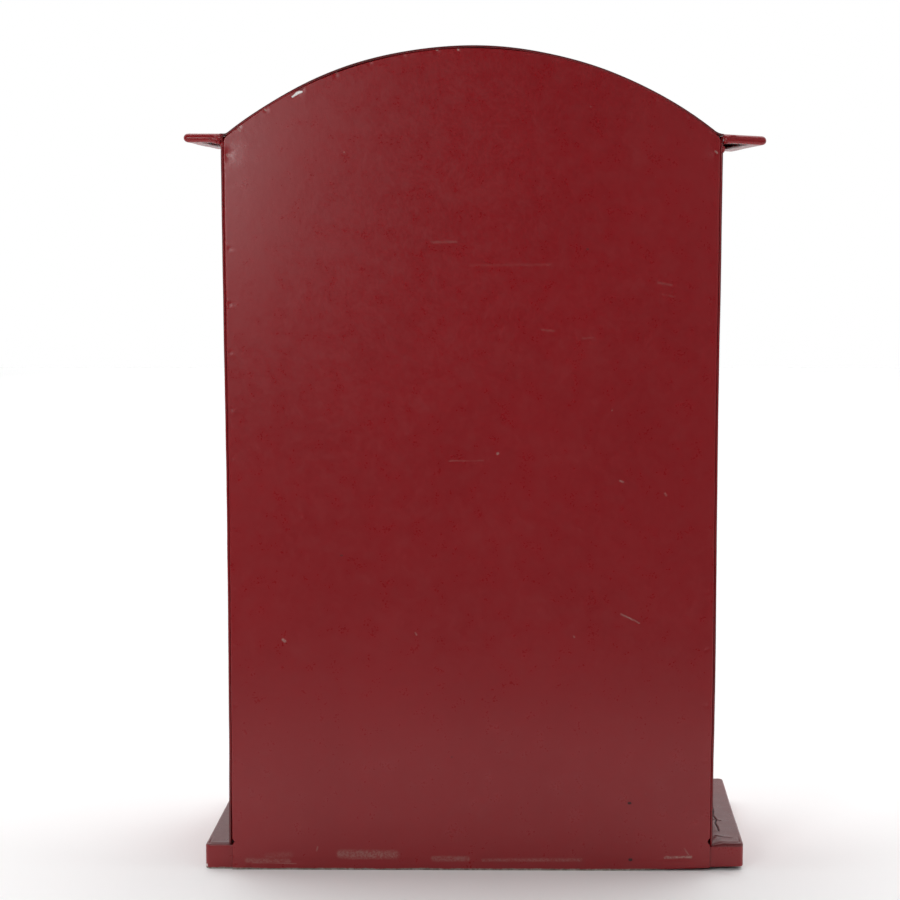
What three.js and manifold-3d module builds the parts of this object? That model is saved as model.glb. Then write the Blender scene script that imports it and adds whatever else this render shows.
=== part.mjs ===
// Free-standing sheet-metal mailbox with an arched roof. Millimetres, +Z up,
// front towards -Y, flat back panel on +Y, stands on z = 0.
import * as THREE from 'three';
import { mergeVertices } from 'three/addons/utils/BufferGeometryUtils.js';
import Module from 'manifold-3d';

const wasm = await Module();
wasm.setup();

// ---- driving dimensions ------------------------------------------------
const T = 1.0;               // sheet thickness
const GAP = 0.3;             // clearance between touching sheets
const DEPTH = 130;           // overall depth: roof and plinth, back to front
const Y_BACK = DEPTH / 2;    // outer face of the back panel
const Y_LIP = -DEPTH / 2;    // front edge of roof and plinth
const Y_FRONT = -46;         // outer face of the front panel (roof and plinth stand 19 proud)
const BODY_W = 257;          // outside of one side sheet to the outside of the other
const BODY_X = 1.5;          // body sits this far to +X of the roof and plinth centre
const HEIGHT = 433;          // floor to the crown of the roof
const R_ROOF = 201.7;        // outside radius of the roof arch
const Z_ARC = HEIGHT - R_ROOF;
const EAVE_W = 298.4;        // tip to tip over both eaves
const EAVE_TOP_P = 389.0;    // top of the +X eave
const EAVE_TOP_N = 388.5;    // top of the -X eave at its root
const EAVE_DROOP_N = 1.1;    // the -X eave droops this much towards its lip
const LIP_R = 2.25;          // outside radius of the rolled eave lip
const LIP_RETURN = 6.0;      // width of the return under the side lip
const LIP_RETURN_END = 2.5;  // width of the return under the end lips
const PLINTH_W = 287.6;
const PLINTH_H = 13.5;
const PLINTH_SKEW = -4.5;    // front edge of the plinth sits this far off its back edge
const PAN_HW = BODY_W / 2 - T - GAP;       // half width of the front and back pans
const PAN_R = R_ROOF - T - GAP;            // their arch radius, under the roof sheet
const FLANGE = 12;           // depth of the pans' side flanges
const BEND = 2.2;            // outside bend radius of the pans
const DOOR_HW = 104, DOOR_Z0 = 28, DOOR_Z1 = 288;      // door opening
const SLOT_HW = 116, SLOT_Z0 = 326, SLOT_Z1 = 360;     // mail slot
const DOOR_FACE = -55;       // outer face of the door's rim
const HINGE_X = BODY_X - 113.6, HINGE_Y = -49.7;       // door hinge axis
const LOCK_X = BODY_X + 90, LOCK_Z = 158;              // lock axis
const ROD_Y = -50.5, ROD_Z = 366;                      // flap rod axis

// ---- solid helpers -----------------------------------------------------
function solid(geometry) {
  const g0 = geometry.clone();
  g0.deleteAttribute('normal');
  g0.deleteAttribute('uv');
  const g = mergeVertices(g0, 1e-5);
  return new wasm.Manifold(new wasm.Mesh({
    numProp: 3,
    vertProperties: new Float32Array(g.attributes.position.array),
    triVerts: new Uint32Array(g.index.array),
  }));
}

function geometryOf(man) {
  const m = man.getMesh();
  const g = new THREE.BufferGeometry();
  const n = m.vertProperties.length / m.numProp;
  const pos = new Float32Array(n * 3);
  for (let i = 0; i < n; i++) {
    for (let k = 0; k < 3; k++) pos[3 * i + k] = m.vertProperties[i * m.numProp + k];
  }
  g.setAttribute('position', new THREE.BufferAttribute(pos, 3));
  g.setIndex(new THREE.BufferAttribute(new Uint32Array(m.triVerts), 1));
  const flat = g.toNonIndexed();
  flat.computeVertexNormals();
  return flat;
}

function box(x0, x1, y0, y1, z0, z1) {
  const g = new THREE.BoxGeometry(x1 - x0, y1 - y0, z1 - z0);
  g.translate((x0 + x1) / 2, (y0 + y1) / 2, (z0 + z1) / 2);
  return solid(g);
}

function shapeOf(points) {
  return new THREE.Shape(points.map(([a, b]) => new THREE.Vector2(a, b)));
}

// polygon in x,z pushed along y
function prismY(points, y0, y1) {
  const g = new THREE.ExtrudeGeometry(shapeOf(points), { depth: y1 - y0, bevelEnabled: false });
  g.rotateX(Math.PI / 2);
  g.translate(0, y1, 0);
  return solid(g);
}

// polygon in y,z pushed along x
function prismX(points, x0, x1) {
  const g = new THREE.ExtrudeGeometry(shapeOf(points), { depth: x1 - x0, bevelEnabled: false });
  g.rotateX(Math.PI / 2);
  g.rotateZ(Math.PI / 2);
  g.translate(x0, 0, 0);
  return solid(g);
}

// polygon in x,y pushed along z
function prismZ(points, z0, z1) {
  const g = new THREE.ExtrudeGeometry(shapeOf(points), { depth: z1 - z0, bevelEnabled: false });
  g.translate(0, 0, z0);
  return solid(g);
}

function cylinder(axis, c, r, a, b, segments = 24) {
  const g = new THREE.CylinderGeometry(r, r, b - a, segments);
  if (axis === 'z') g.rotateX(Math.PI / 2);
  if (axis === 'x') g.rotateZ(Math.PI / 2);
  const mid = (a + b) / 2;
  if (axis === 'x') g.translate(mid, c[0], c[1]);
  if (axis === 'y') g.translate(c[0], mid, c[1]);
  if (axis === 'z') g.translate(c[0], c[1], mid);
  return solid(g);
}

// turned shape about a line along y: profile is closed, [radius, y]
function turnedY(profile, cx, cz, segments = 28) {
  const g = new THREE.LatheGeometry(profile.map(([r, y]) => new THREE.Vector2(r, y)), segments);
  g.translate(cx, 0, cz);
  return solid(g);
}

function arc(cx, cy, r, a0, a1, n) {
  const out = [];
  for (let i = 0; i <= n; i++) {
    const a = (a0 + (a1 - a0) * i / n) * Math.PI / 180;
    out.push([cx + r * Math.cos(a), cy + r * Math.sin(a)]);
  }
  return out;
}

// closed outline of a sheet of thickness t that follows an open centre line
function sheetOutline(line, t) {
  const left = [], right = [];
  for (let i = 0; i < line.length; i++) {
    const p = line[Math.max(0, i - 1)], q = line[Math.min(line.length - 1, i + 1)];
    let dx = q[0] - p[0], dy = q[1] - p[1];
    let k = 1;
    if (i > 0 && i < line.length - 1) {
      const ax = line[i][0] - p[0], ay = line[i][1] - p[1];
      const bx = q[0] - line[i][0], by = q[1] - line[i][1];
      const la = Math.hypot(ax, ay), lb = Math.hypot(bx, by);
      dx = ax / la + bx / lb;
      dy = ay / la + by / lb;
      const c = (ax * bx + ay * by) / (la * lb);
      k = 1 / Math.sqrt((1 + c) / 2);
    }
    const l = Math.hypot(dx, dy);
    const nx = -dy / l * t / 2 * k, ny = dx / l * t / 2 * k;
    left.push([line[i][0] + nx, line[i][1] + ny]);
    right.push([line[i][0] - nx, line[i][1] - ny]);
  }
  return left.concat(right.reverse());
}

function roundedRect(x0, x1, z0, z1, r, n = 5) {
  return [
    ...arc(x1 - r, z0 + r, r, -90, 0, n),
    ...arc(x1 - r, z1 - r, r, 0, 90, n),
    ...arc(x0 + r, z1 - r, r, 90, 180, n),
    ...arc(x0 + r, z0 + r, r, 180, 270, n),
  ];
}

// ---- materials and the group ------------------------------------------
const root = new THREE.Group();
root.name = 'mailbox';

function add(name, man, colour, roughness, metalness) {
  const mesh = new THREE.Mesh(geometryOf(man),
    new THREE.MeshStandardMaterial({ color: colour, roughness, metalness }));
  mesh.name = name;
  root.add(mesh);
  return mesh;
}
const RED = [0x7a1c24, 0.42, 0.1];
const RED_DARK = [0x6b171f, 0.45, 0.1];
const STEEL = [0xb4b6b8, 0.35, 0.9];
const CHROME = [0xd0d2d4, 0.18, 1.0];

// ---- arched pans (front and back panels) -------------------------------
// outline in x,z: straight sides, arch top under the roof sheet
function archOutline(hw, r, z0, n = 36) {
  const half = Math.acos(hw / r) * 180 / Math.PI;
  return [
    [BODY_X - hw, z0], [BODY_X + hw, z0],
    ...arc(BODY_X, Z_ARC, r, half, 180 - half, n),
  ];
}

// pan with side flanges; sign +1: face towards +Y, flanges run to -Y
function archedPan(face, sign, flatZ0, flangeZ0) {
  const yA = Math.min(face, face - sign * T), yB = Math.max(face, face - sign * T);
  const flat = prismY(archOutline(PAN_HW - BEND + 0.01, PAN_R, flatZ0), yA, yB);
  const rc = BEND - T / 2;
  const xm = PAN_HW - T / 2, ym = face - sign * T / 2;
  const bendR = arc(BODY_X + xm - rc, ym - sign * rc, rc, sign * 90, 0, 5);
  const bendL = arc(BODY_X - xm + rc, ym - sign * rc, rc, 180, 180 - sign * 90, 5);
  const line = [
    [BODY_X - xm, face - sign * FLANGE], ...bendL,
    ...bendR, [BODY_X + xm, face - sign * FLANGE],
  ];
  const u = prismZ(sheetOutline(line, T), flangeZ0, HEIGHT - 30);
  const trim = prismY(archOutline(PAN_HW + 5, PAN_R, flatZ0 - 1), -80, 80);
  return flat.add(u.intersect(trim));
}

// back panel: runs down to the floor over the rear of the plinth
const foot = prismY([
  [BODY_X - PAN_HW, 0], [BODY_X + PAN_HW, 0],
  [BODY_X + PAN_HW, 15.3], [BODY_X - PAN_HW, 15.3]], Y_BACK - T, Y_BACK);
let back = archedPan(Y_BACK, 1, 0, 15.3).add(foot);
// the flanges are notched above the plinth's corners
back = back.subtract(box(BODY_X - PAN_HW - 1, BODY_X + PAN_HW + 1, Y_BACK - FLANGE - 1, Y_BACK - BEND - 0.3, 15, 42));
// pressed dimples left by the spot welds around the rim
const dimpleR = 3.2, dimpleDepth = 0.25;
const dimples = [];
const archDots = [];
for (let i = 0; i < 16; i++) archDots.push(129.0 - i * 5.2);
for (const deg of archDots) {
  const a = deg * Math.PI / 180;
  dimples.push([BODY_X + (PAN_R - 3.2) * Math.cos(a), Z_ARC + (PAN_R - 3.2) * Math.sin(a)]);
}
for (const s of [-1, 1]) {
  for (let i = 0; i < 10; i++) dimples.push([BODY_X + s * (PAN_HW - 3.4), 358 - i * 31.5]);
}
for (const [x, z] of dimples) {
  const g = new THREE.SphereGeometry(dimpleR, 8, 6);
  g.rotateX(Math.PI / 2);
  g.translate(x, Y_BACK + dimpleR - dimpleDepth, z);
  back = back.subtract(solid(g));
}
add('back_panel', back, ...RED);

// front panel: door opening, mail slot, four rivet holes
let front = archedPan(Y_FRONT, -1, PLINTH_H + GAP, 15.3);
front = front.subtract(prismY(roundedRect(BODY_X - DOOR_HW, BODY_X + DOOR_HW, DOOR_Z0, DOOR_Z1, 5), -60, -40));
front = front.subtract(prismY(roundedRect(BODY_X - SLOT_HW, BODY_X + SLOT_HW, SLOT_Z0, SLOT_Z1, 3), -60, -40));
for (const s of [-1, 1]) {
  front = front.subtract(cylinder('y', [BODY_X + s * 122.9, ROD_Z], 1.6, -60, -40, 16));
}
add('front_panel', front, ...RED);

// side sheets
const sideY0 = Y_FRONT + 0.4, sideY1 = Y_BACK - 0.4;
add('side_panel_right', box(BODY_X + BODY_W / 2 - T, BODY_X + BODY_W / 2, sideY0, sideY1,
  PLINTH_H + GAP, EAVE_TOP_P - T - GAP), ...RED);
add('side_panel_left', box(BODY_X - BODY_W / 2, BODY_X - BODY_W / 2 + T, sideY0, sideY1,
  PLINTH_H + GAP, EAVE_TOP_N - T - GAP), ...RED);

// floor of the compartment, lying on the plinth
add('floor_plate', box(BODY_X - PAN_HW, BODY_X + PAN_HW, Y_FRONT + T + GAP, Y_BACK - T - GAP,
  PLINTH_H + GAP, PLINTH_H + GAP + T), ...RED_DARK);

// roof: arched sheet that flares into an eave on each side; every eave is a
// shallow tray with rolled lips along its side and both ends
function eave(side) {
  const top = side > 0 ? EAVE_TOP_P : EAVE_TOP_N;
  const tip = EAVE_W / 2 - side * BODY_X;            // from the body centre
  const cx = tip - LIP_R, zc = top - LIP_R;
  const cy0 = Y_LIP + LIP_R, cy1 = Y_BACK - LIP_R;
  const rootX = BODY_W / 2 + GAP;
  const ri = LIP_R - T;
  const X = (x) => BODY_X + side * x;
  const bx = (x0, x1, y0, y1, z0, z1) => box(Math.min(X(x0), X(x1)), Math.max(X(x0), X(x1)), y0, y1, z0, z1);
  const ball = (y, r) => {
    const g = new THREE.SphereGeometry(r, 16, 12);
    g.translate(X(cx), y, zc);
    return solid(g);
  };
  const bead = (r, inner) => {
    let m = bx(rootX - (inner ? 1 : 0), cx, cy0, cy1, zc - r, zc + r);
    m = m.add(cylinder('y', [X(cx), zc], r, cy0, cy1, 16));
    for (const y of [cy0, cy1]) {
      const xa = Math.min(X(rootX - (inner ? 1 : 0)), X(cx)), xb = Math.max(X(rootX - (inner ? 1 : 0)), X(cx));
      m = m.add(cylinder('x', [y, zc], r, xa, xb, 16)).add(ball(y, r));
    }
    return m;
  };
  let tray = bead(LIP_R, false).subtract(bead(ri, true));
  tray = tray.subtract(bx(rootX - 2, cx - LIP_RETURN, cy0 + LIP_RETURN_END, cy1 - LIP_RETURN_END, zc - 6, zc));
  if (side < 0) {
    // droop: shear about the root
    const g = geometryOf(tray);
    const k = EAVE_DROOP_N / (cx - rootX);
    const p = g.attributes.position;
    for (let i = 0; i < p.count; i++) p.setZ(i, p.getZ(i) + k * (p.getX(i) - X(rootX)));
    tray = solid(g);
  }
  return tray;
}
function flare(side, topRoot) {
  const zc = topRoot - T / 2;
  const rf = 4;
  const rc = R_ROOF - T / 2;
  const hz = zc + rf - Z_ARC;
  const xf = Math.sqrt((rc + rf) ** 2 - hz ** 2);
  const tangent = Math.atan2(hz, xf) * 180 / Math.PI;
  const pts = [
    [BODY_W / 2 + 1.6, zc],
    ...arc(xf, zc + rf, rf, -90, -180 + tangent, 8),
  ];
  return { pts: pts.map(([x, z]) => [BODY_X + side * x, z]), tangent };
}
const fP = flare(1, EAVE_TOP_P), fN = flare(-1, EAVE_TOP_N);
const crown = arc(BODY_X, Z_ARC, R_ROOF - T / 2, fP.tangent, 180 - fN.tangent, 60).slice(1, -1);
const roofLine = [...fP.pts, ...crown, ...fN.pts.slice().reverse()];
add('roof_shell', prismY(sheetOutline(roofLine, T), Y_LIP, Y_BACK).add(eave(1)).add(eave(-1)), ...RED);

// plinth: inverted tray, plan slightly skewed, rounded corners
function plinthPlan(inset, r) {
  const h = PLINTH_W / 2 - inset;
  const y0 = Y_LIP + inset, y1 = Y_BACK - T - GAP - inset;
  const k = PLINTH_SKEW / (y1 - y0 + 2 * inset);
  return roundedRect(-h, h, y0, y1, r, 4).map(([x, y]) => [x + k * (Y_BACK - y), y]);
}
const bev = 1.2;
const tray = new THREE.ExtrudeGeometry(shapeOf(plinthPlan(bev, 2.0)), {
  depth: PLINTH_H + 10 - bev, bevelEnabled: true, bevelThickness: bev, bevelSize: bev, bevelSegments: 3,
});
tray.translate(0, 0, -10);
let plinth = solid(tray).intersect(box(-200, 200, -100, 100, 0, 50));
plinth = plinth.subtract(prismZ(plinthPlan(T, 2.0), -1, PLINTH_H - T));
add('plinth_tray', plinth, ...RED);

// ---- inside: guard behind the slot, strike for the lock -----------------
add('mail_guard', prismX([
  [-44.7, 300], [-43.7, 300], [-43.7, 319.85], [-13.0, 305.5], [-12.58, 306.42], [-44.7, 321.4],
], BODY_X - 110, BODY_X + 110), ...RED_DARK);
add('lock_strike', box(BODY_X + 104.6, BODY_X + 118, -44.7, -43.7, LOCK_Z - 16, LOCK_Z + 16), ...RED_DARK);

// ---- door ----------------------------------------------------------------
function frustum(hx, z0, z1, yBase, yTop, inset) {
  const v = [];
  for (const [y, k] of [[yBase, 0], [yTop, inset]]) {
    v.push([BODY_X - hx + k, y, z0 + k], [BODY_X + hx - k, y, z0 + k],
      [BODY_X + hx - k, y, z1 - k], [BODY_X - hx + k, y, z1 - k]);
  }
  const f = [0, 1, 2, 0, 2, 3, 4, 6, 5, 4, 7, 6,
    0, 5, 1, 0, 4, 5, 1, 6, 2, 1, 5, 6, 2, 7, 3, 2, 6, 7, 3, 4, 0, 3, 7, 4];
  const g = new THREE.BufferGeometry();
  g.setAttribute('position', new THREE.BufferAttribute(new Float32Array(v.flat()), 3));
  g.setIndex(f.flatMap((_, i) => (i % 3 === 0 ? [f[i], f[i + 2], f[i + 1]] : [])));
  return solid(g);
}
const DW = 110, DZ0 = 22, DZ1 = 294;
let door = prismY(roundedRect(BODY_X - DW, BODY_X + DW, DZ0, DZ1, 3.5), DOOR_FACE, -46.7);
door = door.subtract(prismY(roundedRect(BODY_X - DW + T, BODY_X + DW - T, DZ0 + T, DZ1 - T, 2.5), DOOR_FACE + T, -40));
door = door.add(frustum(76, 56, 260, DOOR_FACE + 0.5, DOOR_FACE - 2.5, 3));
door = door.subtract(frustum(75.2, 56.8, 259.2, DOOR_FACE + T + 0.2, DOOR_FACE - 1.5, 2.7));
door = door.subtract(cylinder('y', [LOCK_X, LOCK_Z], 8.35, -70, -40, 28));
add('door_panel', door, ...RED);

// ---- hinges: two-knuckle, lower half on the front panel -------------------
const HINGES = { lower: 46, upper: 226 };
for (const [name, z0] of Object.entries(HINGES)) {
  const zm = z0 + 22;
  const frameLeaf = cylinder('z', [HINGE_X, HINGE_Y], 2.9, z0, zm - 0.3, 24)
    .add(box(HINGE_X - 12, HINGE_X, -47.3, -46.3, z0, zm - 0.3))
    .subtract(cylinder('z', [HINGE_X, HINGE_Y], 1.65, z0 - 1, zm + 1, 20));
  const doorLeaf = cylinder('z', [HINGE_X, HINGE_Y], 2.9, zm + 0.3, z0 + 44, 24)
    .add(box(HINGE_X + 2.3, HINGE_X + 3.3, -54.4, -47.2, zm + 0.3, z0 + 44))
    .subtract(cylinder('z', [HINGE_X, HINGE_Y], 1.65, zm - 1, z0 + 46, 20));
  add(`hinge_leaf_frame_${name}`, frameLeaf, ...RED);
  add(`hinge_leaf_door_${name}`, doorLeaf, ...RED);
  const pin = cylinder('z', [HINGE_X, HINGE_Y], 1.3, z0 - 1.5, z0 + 44.3, 20)
    .add(cylinder('z', [HINGE_X, HINGE_Y], 2.4, z0 + 44.3, z0 + 46, 20))
    .add(cylinder('z', [HINGE_X, HINGE_Y], 2.4, z0 - 2.0, z0 - 0.3, 20));
  add(`hinge_pin_${name}`, pin, ...STEEL);
}

// ---- cam lock --------------------------------------------------------------
const housing = turnedY([
  [6.35, -56.6], [9.6, -56.6], [10.5, -56.0], [10.5, -55.3], [8.0, -55.3], [8.0, -44.0], [6.35, -44.0], [6.35, -56.6],
], LOCK_X, LOCK_Z, 32);
add('lock_housing', housing, ...CHROME);
const hex = [];
for (let i = 0; i < 6; i++) {
  const a = (i * 60 + 30) * Math.PI / 180;
  hex.push([LOCK_X + 12.4 * Math.cos(a), LOCK_Z + 12.4 * Math.sin(a)]);
}
add('lock_nut', prismY(hex, -53.7, -50.4).subtract(cylinder('y', [LOCK_X, LOCK_Z], 8.35, -60, -40, 28)), ...STEEL);
let plug = cylinder('y', [LOCK_X, LOCK_Z], 6.0, -57.0, -43.5, 28);
plug = plug.subtract(box(LOCK_X - 0.6, LOCK_X + 0.6, -60, -53, LOCK_Z - 3.4, LOCK_Z + 3.4));
plug = plug.subtract(cylinder('y', [LOCK_X, LOCK_Z], 2.3, -49.5, -43, 16));
add('lock_plug', plug, ...CHROME);
const camPlan = [
  ...arc(LOCK_X, LOCK_Z, 7.0, 0, 180, 12),
  [LOCK_X - 5.0, LOCK_Z - 8], [LOCK_X - 5.0, LOCK_Z - 20], [LOCK_X - 3.2, LOCK_Z - 22],
  [LOCK_X + 3.2, LOCK_Z - 22], [LOCK_X + 5.0, LOCK_Z - 20], [LOCK_X + 5.0, LOCK_Z - 8],
];
add('lock_cam', prismY(camPlan, -43.2, -41.7).subtract(cylinder('y', [LOCK_X, LOCK_Z], 2.3, -50, -40, 16)), ...STEEL);
const screw = cylinder('y', [LOCK_X, LOCK_Z], 2.0, -49.0, -41.2, 16)
  .add(cylinder('y', [LOCK_X, LOCK_Z], 4.2, -41.4, -39.4, 20))
  .subtract(box(LOCK_X - 5, LOCK_X + 5, -40.2, -39, LOCK_Z - 0.5, LOCK_Z + 0.5));
add('lock_cam_screw', screw, ...STEEL);

// ---- slot flap on its rod ----------------------------------------------------
const flapLine = [
  [-54.6, 319.6], [-50.3, 320.6], ...arc(-50.3, 323.0, 2.4, -78, 0, 5),
  [-47.9, 340], [-47.9, 366],
];
const flapHW = 118.2;
let flap = prismX(sheetOutline(flapLine, T), BODY_X - flapHW, BODY_X + flapHW);
flap = flap.add(cylinder('x', [ROD_Y, ROD_Z], 3.1, BODY_X - flapHW, BODY_X + flapHW, 24));
flap = flap.subtract(cylinder('x', [ROD_Y, ROD_Z], 2.1, BODY_X - 140, BODY_X + 140, 20));
add('slot_flap', flap, ...RED);
add('flap_rod', cylinder('x', [ROD_Y, ROD_Z], 1.8, BODY_X - 120.3, BODY_X + 120.3, 20), ...STEEL);
for (const [name, s] of [['left', -1], ['right', 1]]) {
  const xs = (a, b) => (s > 0 ? [BODY_X + a, BODY_X + b] : [BODY_X - b, BODY_X - a]);
  const [e0, e1] = xs(118.6, 120.0);
  const [f0, f1] = xs(118.6, 126.4);
  const ear = prismX([[-46.3, 358.5], [-46.3, 373.5], [-51, 373.5], [-54.9, 369.6], [-54.9, 362.4], [-51, 358.5]].reverse(), e0, e1);
  let bracket = ear.add(box(f0, f1, -47.7, -46.3, 358.5, 373.5));
  bracket = bracket.subtract(cylinder('x', [ROD_Y, ROD_Z], 2.1, BODY_X - 140, BODY_X + 140, 20));
  bracket = bracket.subtract(cylinder('y', [BODY_X + s * 122.9, ROD_Z], 1.6, -60, -40, 16));
  add(`flap_bracket_${name}`, bracket, ...RED);
  const rivet = turnedY([
    [0, -49.6], [1.3, -49.4], [2.2, -48.8], [2.5, -48.0], [1.3, -48.0], [1.3, -44.7],
    [2.3, -44.7], [2.3, -43.6], [0, -43.6],
  ], BODY_X + s * 122.9, ROD_Z, 18);
  add(`bracket_rivet_${name}`, rivet, ...STEEL);
}

export default root;
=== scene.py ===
import bpy
import bmesh
import math
import random
import numpy as np
from mathutils import Vector, Matrix, noise
from mathutils.geometry import delaunay_2d_cdt


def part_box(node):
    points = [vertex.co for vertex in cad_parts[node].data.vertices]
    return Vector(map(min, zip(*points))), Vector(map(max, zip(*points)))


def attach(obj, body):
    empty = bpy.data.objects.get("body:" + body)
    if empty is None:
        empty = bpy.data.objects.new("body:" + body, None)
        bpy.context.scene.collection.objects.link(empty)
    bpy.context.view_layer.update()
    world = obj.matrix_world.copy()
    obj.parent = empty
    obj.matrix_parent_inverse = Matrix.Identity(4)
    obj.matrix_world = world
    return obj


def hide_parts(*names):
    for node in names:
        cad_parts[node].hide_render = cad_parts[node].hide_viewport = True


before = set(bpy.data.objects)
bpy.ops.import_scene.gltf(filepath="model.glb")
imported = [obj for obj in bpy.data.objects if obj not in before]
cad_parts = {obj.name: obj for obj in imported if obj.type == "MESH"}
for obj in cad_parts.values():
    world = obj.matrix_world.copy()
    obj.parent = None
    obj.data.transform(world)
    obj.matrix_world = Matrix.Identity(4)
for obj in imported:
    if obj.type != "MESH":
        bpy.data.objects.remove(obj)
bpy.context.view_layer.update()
random.seed(7)

# ------------------------------------------------------------------ sizes
# everything below works in millimetres and is scaled to metres in make()
MM = 0.001


def nb(node):
    lo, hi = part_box(node)
    return [v * 1000 for v in lo], [v * 1000 for v in hi]


(bx0, by0, bz0), (bx1, by1, bz1) = nb("back_panel")
(rx0, ry0, rz0), (rx1, ry1, rz1) = nb("roof_shell")
(px0, py0, pz0), (px1, py1, pz1) = nb("plinth_tray")
(fx0, fy0, fz0), (fx1, fy1, fz1) = nb("front_panel")
(dx0, dy0, dz0), (dx1, dy1, dz1) = nb("door_panel")
(sl0, _, slz0), (sl1, sly1, slz1) = nb("side_panel_left")
(sr0, sry0, srz0), (sr1, sry1, srz1) = nb("side_panel_right")
T = 1.0
BX = (bx0 + bx1) / 2
HW = (bx1 - bx0) / 2                 # half width of the pans
Y_BACK = by1
Y_FRONT = fy0
R_ROOF = 201.7
Z_ARC = rz1 - R_ROOF
PAN_R = R_ROOF - T - 0.1
HW += 0.12
BODY_HW = (sr1 - sl0) / 2
TIP_P, TIP_N = rx1, rx0
Z_EAVE_P, Z_EAVE_N = 389.0, 388.5
DROOP_N = 1.1
LIP_R = 2.25


def smooth(a, b, v):
    t = min(1.0, max(0.0, (v - a) / (b - a)))
    return t * t * (3 - 2 * t)


def gauss(x, s):
    return math.exp(-(x / s) ** 2)


def wob(x, z, scale, seed):
    return noise.noise(Vector((x / scale + seed * 7.3, z / scale - seed * 3.1, seed * 1.7)))


# --------------------------------------------------------------- materials
class Nodes:
    """Small helper that writes shader nodes as expressions."""

    def __init__(self, name):
        self.mat = bpy.data.materials.new(name)
        self.mat.use_nodes = True
        self.t = self.mat.node_tree
        self.t.nodes.clear()
        self.out = self.t.nodes.new("ShaderNodeOutputMaterial")
        self.bsdf = self.t.nodes.new("ShaderNodeBsdfPrincipled")
        self.t.links.new(self.bsdf.outputs[0], self.out.inputs[0])
        tc = self.t.nodes.new("ShaderNodeTexCoord")
        sc = self.t.nodes.new("ShaderNodeVectorMath")
        sc.operation = "SCALE"
        sc.inputs["Scale"].default_value = 1000.0
        self.t.links.new(tc.outputs["Object"], sc.inputs[0])
        self.p = sc.outputs[0]                      # position in mm
        sep = self.t.nodes.new("ShaderNodeSeparateXYZ")
        self.t.links.new(self.p, sep.inputs[0])
        self.x, self.y, self.z = sep.outputs

    def _in(self, sock, v):
        if hasattr(v, "is_output"):
            self.t.links.new(v, sock)
        elif isinstance(v, (tuple, list)) and len(v) == 3 and sock.type == "RGBA":
            sock.default_value = (*v, 1)
        else:
            sock.default_value = v

    def math(self, op, a, b=0.0, c=0.0, clamp=False):
        n = self.t.nodes.new("ShaderNodeMath")
        n.operation = op
        n.use_clamp = clamp
        for s, v in zip(n.inputs, (a, b, c)):
            self._in(s, v)
        return n.outputs[0]

    def vmath(self, op, a, b=(0, 0, 0), scale=None):
        n = self.t.nodes.new("ShaderNodeVectorMath")
        n.operation = op
        self._in(n.inputs[0], a)
        self._in(n.inputs[1], b)
        if scale is not None:
            self._in(n.inputs["Scale"], scale)
        return n.outputs["Value"] if op in ("LENGTH", "DOT_PRODUCT", "DISTANCE") else n.outputs[0]

    def noise(self, scale, detail=3.0, rough=0.5, dist=0.0, vec=None, offset=None):
        n = self.t.nodes.new("ShaderNodeTexNoise")
        v = self.p if vec is None else vec
        if offset:
            v = self.vmath("ADD", v, offset)
        self._in(n.inputs["Vector"], v)
        n.inputs["Scale"].default_value = scale
        n.inputs["Detail"].default_value = detail
        n.inputs["Roughness"].default_value = rough
        n.inputs["Distortion"].default_value = dist
        return n.outputs[0]

    def ramp(self, v, a, b, lo=0.0, hi=1.0):
        n = self.t.nodes.new("ShaderNodeMapRange")
        n.interpolation_type = "SMOOTHSTEP"
        self._in(n.inputs["Value"], v)
        n.inputs["From Min"].default_value = a
        n.inputs["From Max"].default_value = b
        n.inputs["To Min"].default_value = lo
        n.inputs["To Max"].default_value = hi
        return n.outputs[0]

    def mix(self, f, a, b):
        n = self.t.nodes.new("ShaderNodeMix")
        n.data_type = "RGBA"
        self._in(n.inputs["Factor"], f)
        self._in(n.inputs["A"], a)
        self._in(n.inputs["B"], b)
        return n.outputs["Result"]

    def mixf(self, f, a, b):
        n = self.t.nodes.new("ShaderNodeMix")
        n.data_type = "FLOAT"
        for k, v in (("Factor", f), ("A", a), ("B", b)):
            self._in(n.inputs[k], v)
        return n.outputs["Result"]

    def capsule(self, a, b, r, soft, vec=None):
        """1 inside a thick line a-b in the vector's space, falling to 0 over soft."""
        v = self.p if vec is None else vec
        ab = Vector(b) - Vector(a)
        l2 = max(ab.length_squared, 1e-6)
        pa = self.vmath("SUBTRACT", v, tuple(a))
        h = self.math("DIVIDE", self.vmath("DOT_PRODUCT", pa, tuple(ab)), l2, clamp=True)
        q = self.vmath("SCALE", tuple(ab), scale=h)
        d = self.vmath("LENGTH", self.vmath("SUBTRACT", pa, q))
        return self.ramp(d, r + soft, r)

    def bump(self, height, strength, distance, normal=None):
        n = self.t.nodes.new("ShaderNodeBump")
        self._in(n.inputs["Height"], height)
        n.inputs["Strength"].default_value = strength
        n.inputs["Distance"].default_value = distance
        if normal is not None:
            self._in(n.inputs["Normal"], normal)
        return n.outputs[0]

    def set(self, **kw):
        for k, v in kw.items():
            self._in(self.bsdf.inputs[k.replace("_", " ")], v)


PAINT_A = (0.254, 0.0040, 0.0078)
PAINT_B = (0.268, 0.0046, 0.0086)
BARE = (0.20, 0.155, 0.125)


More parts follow.
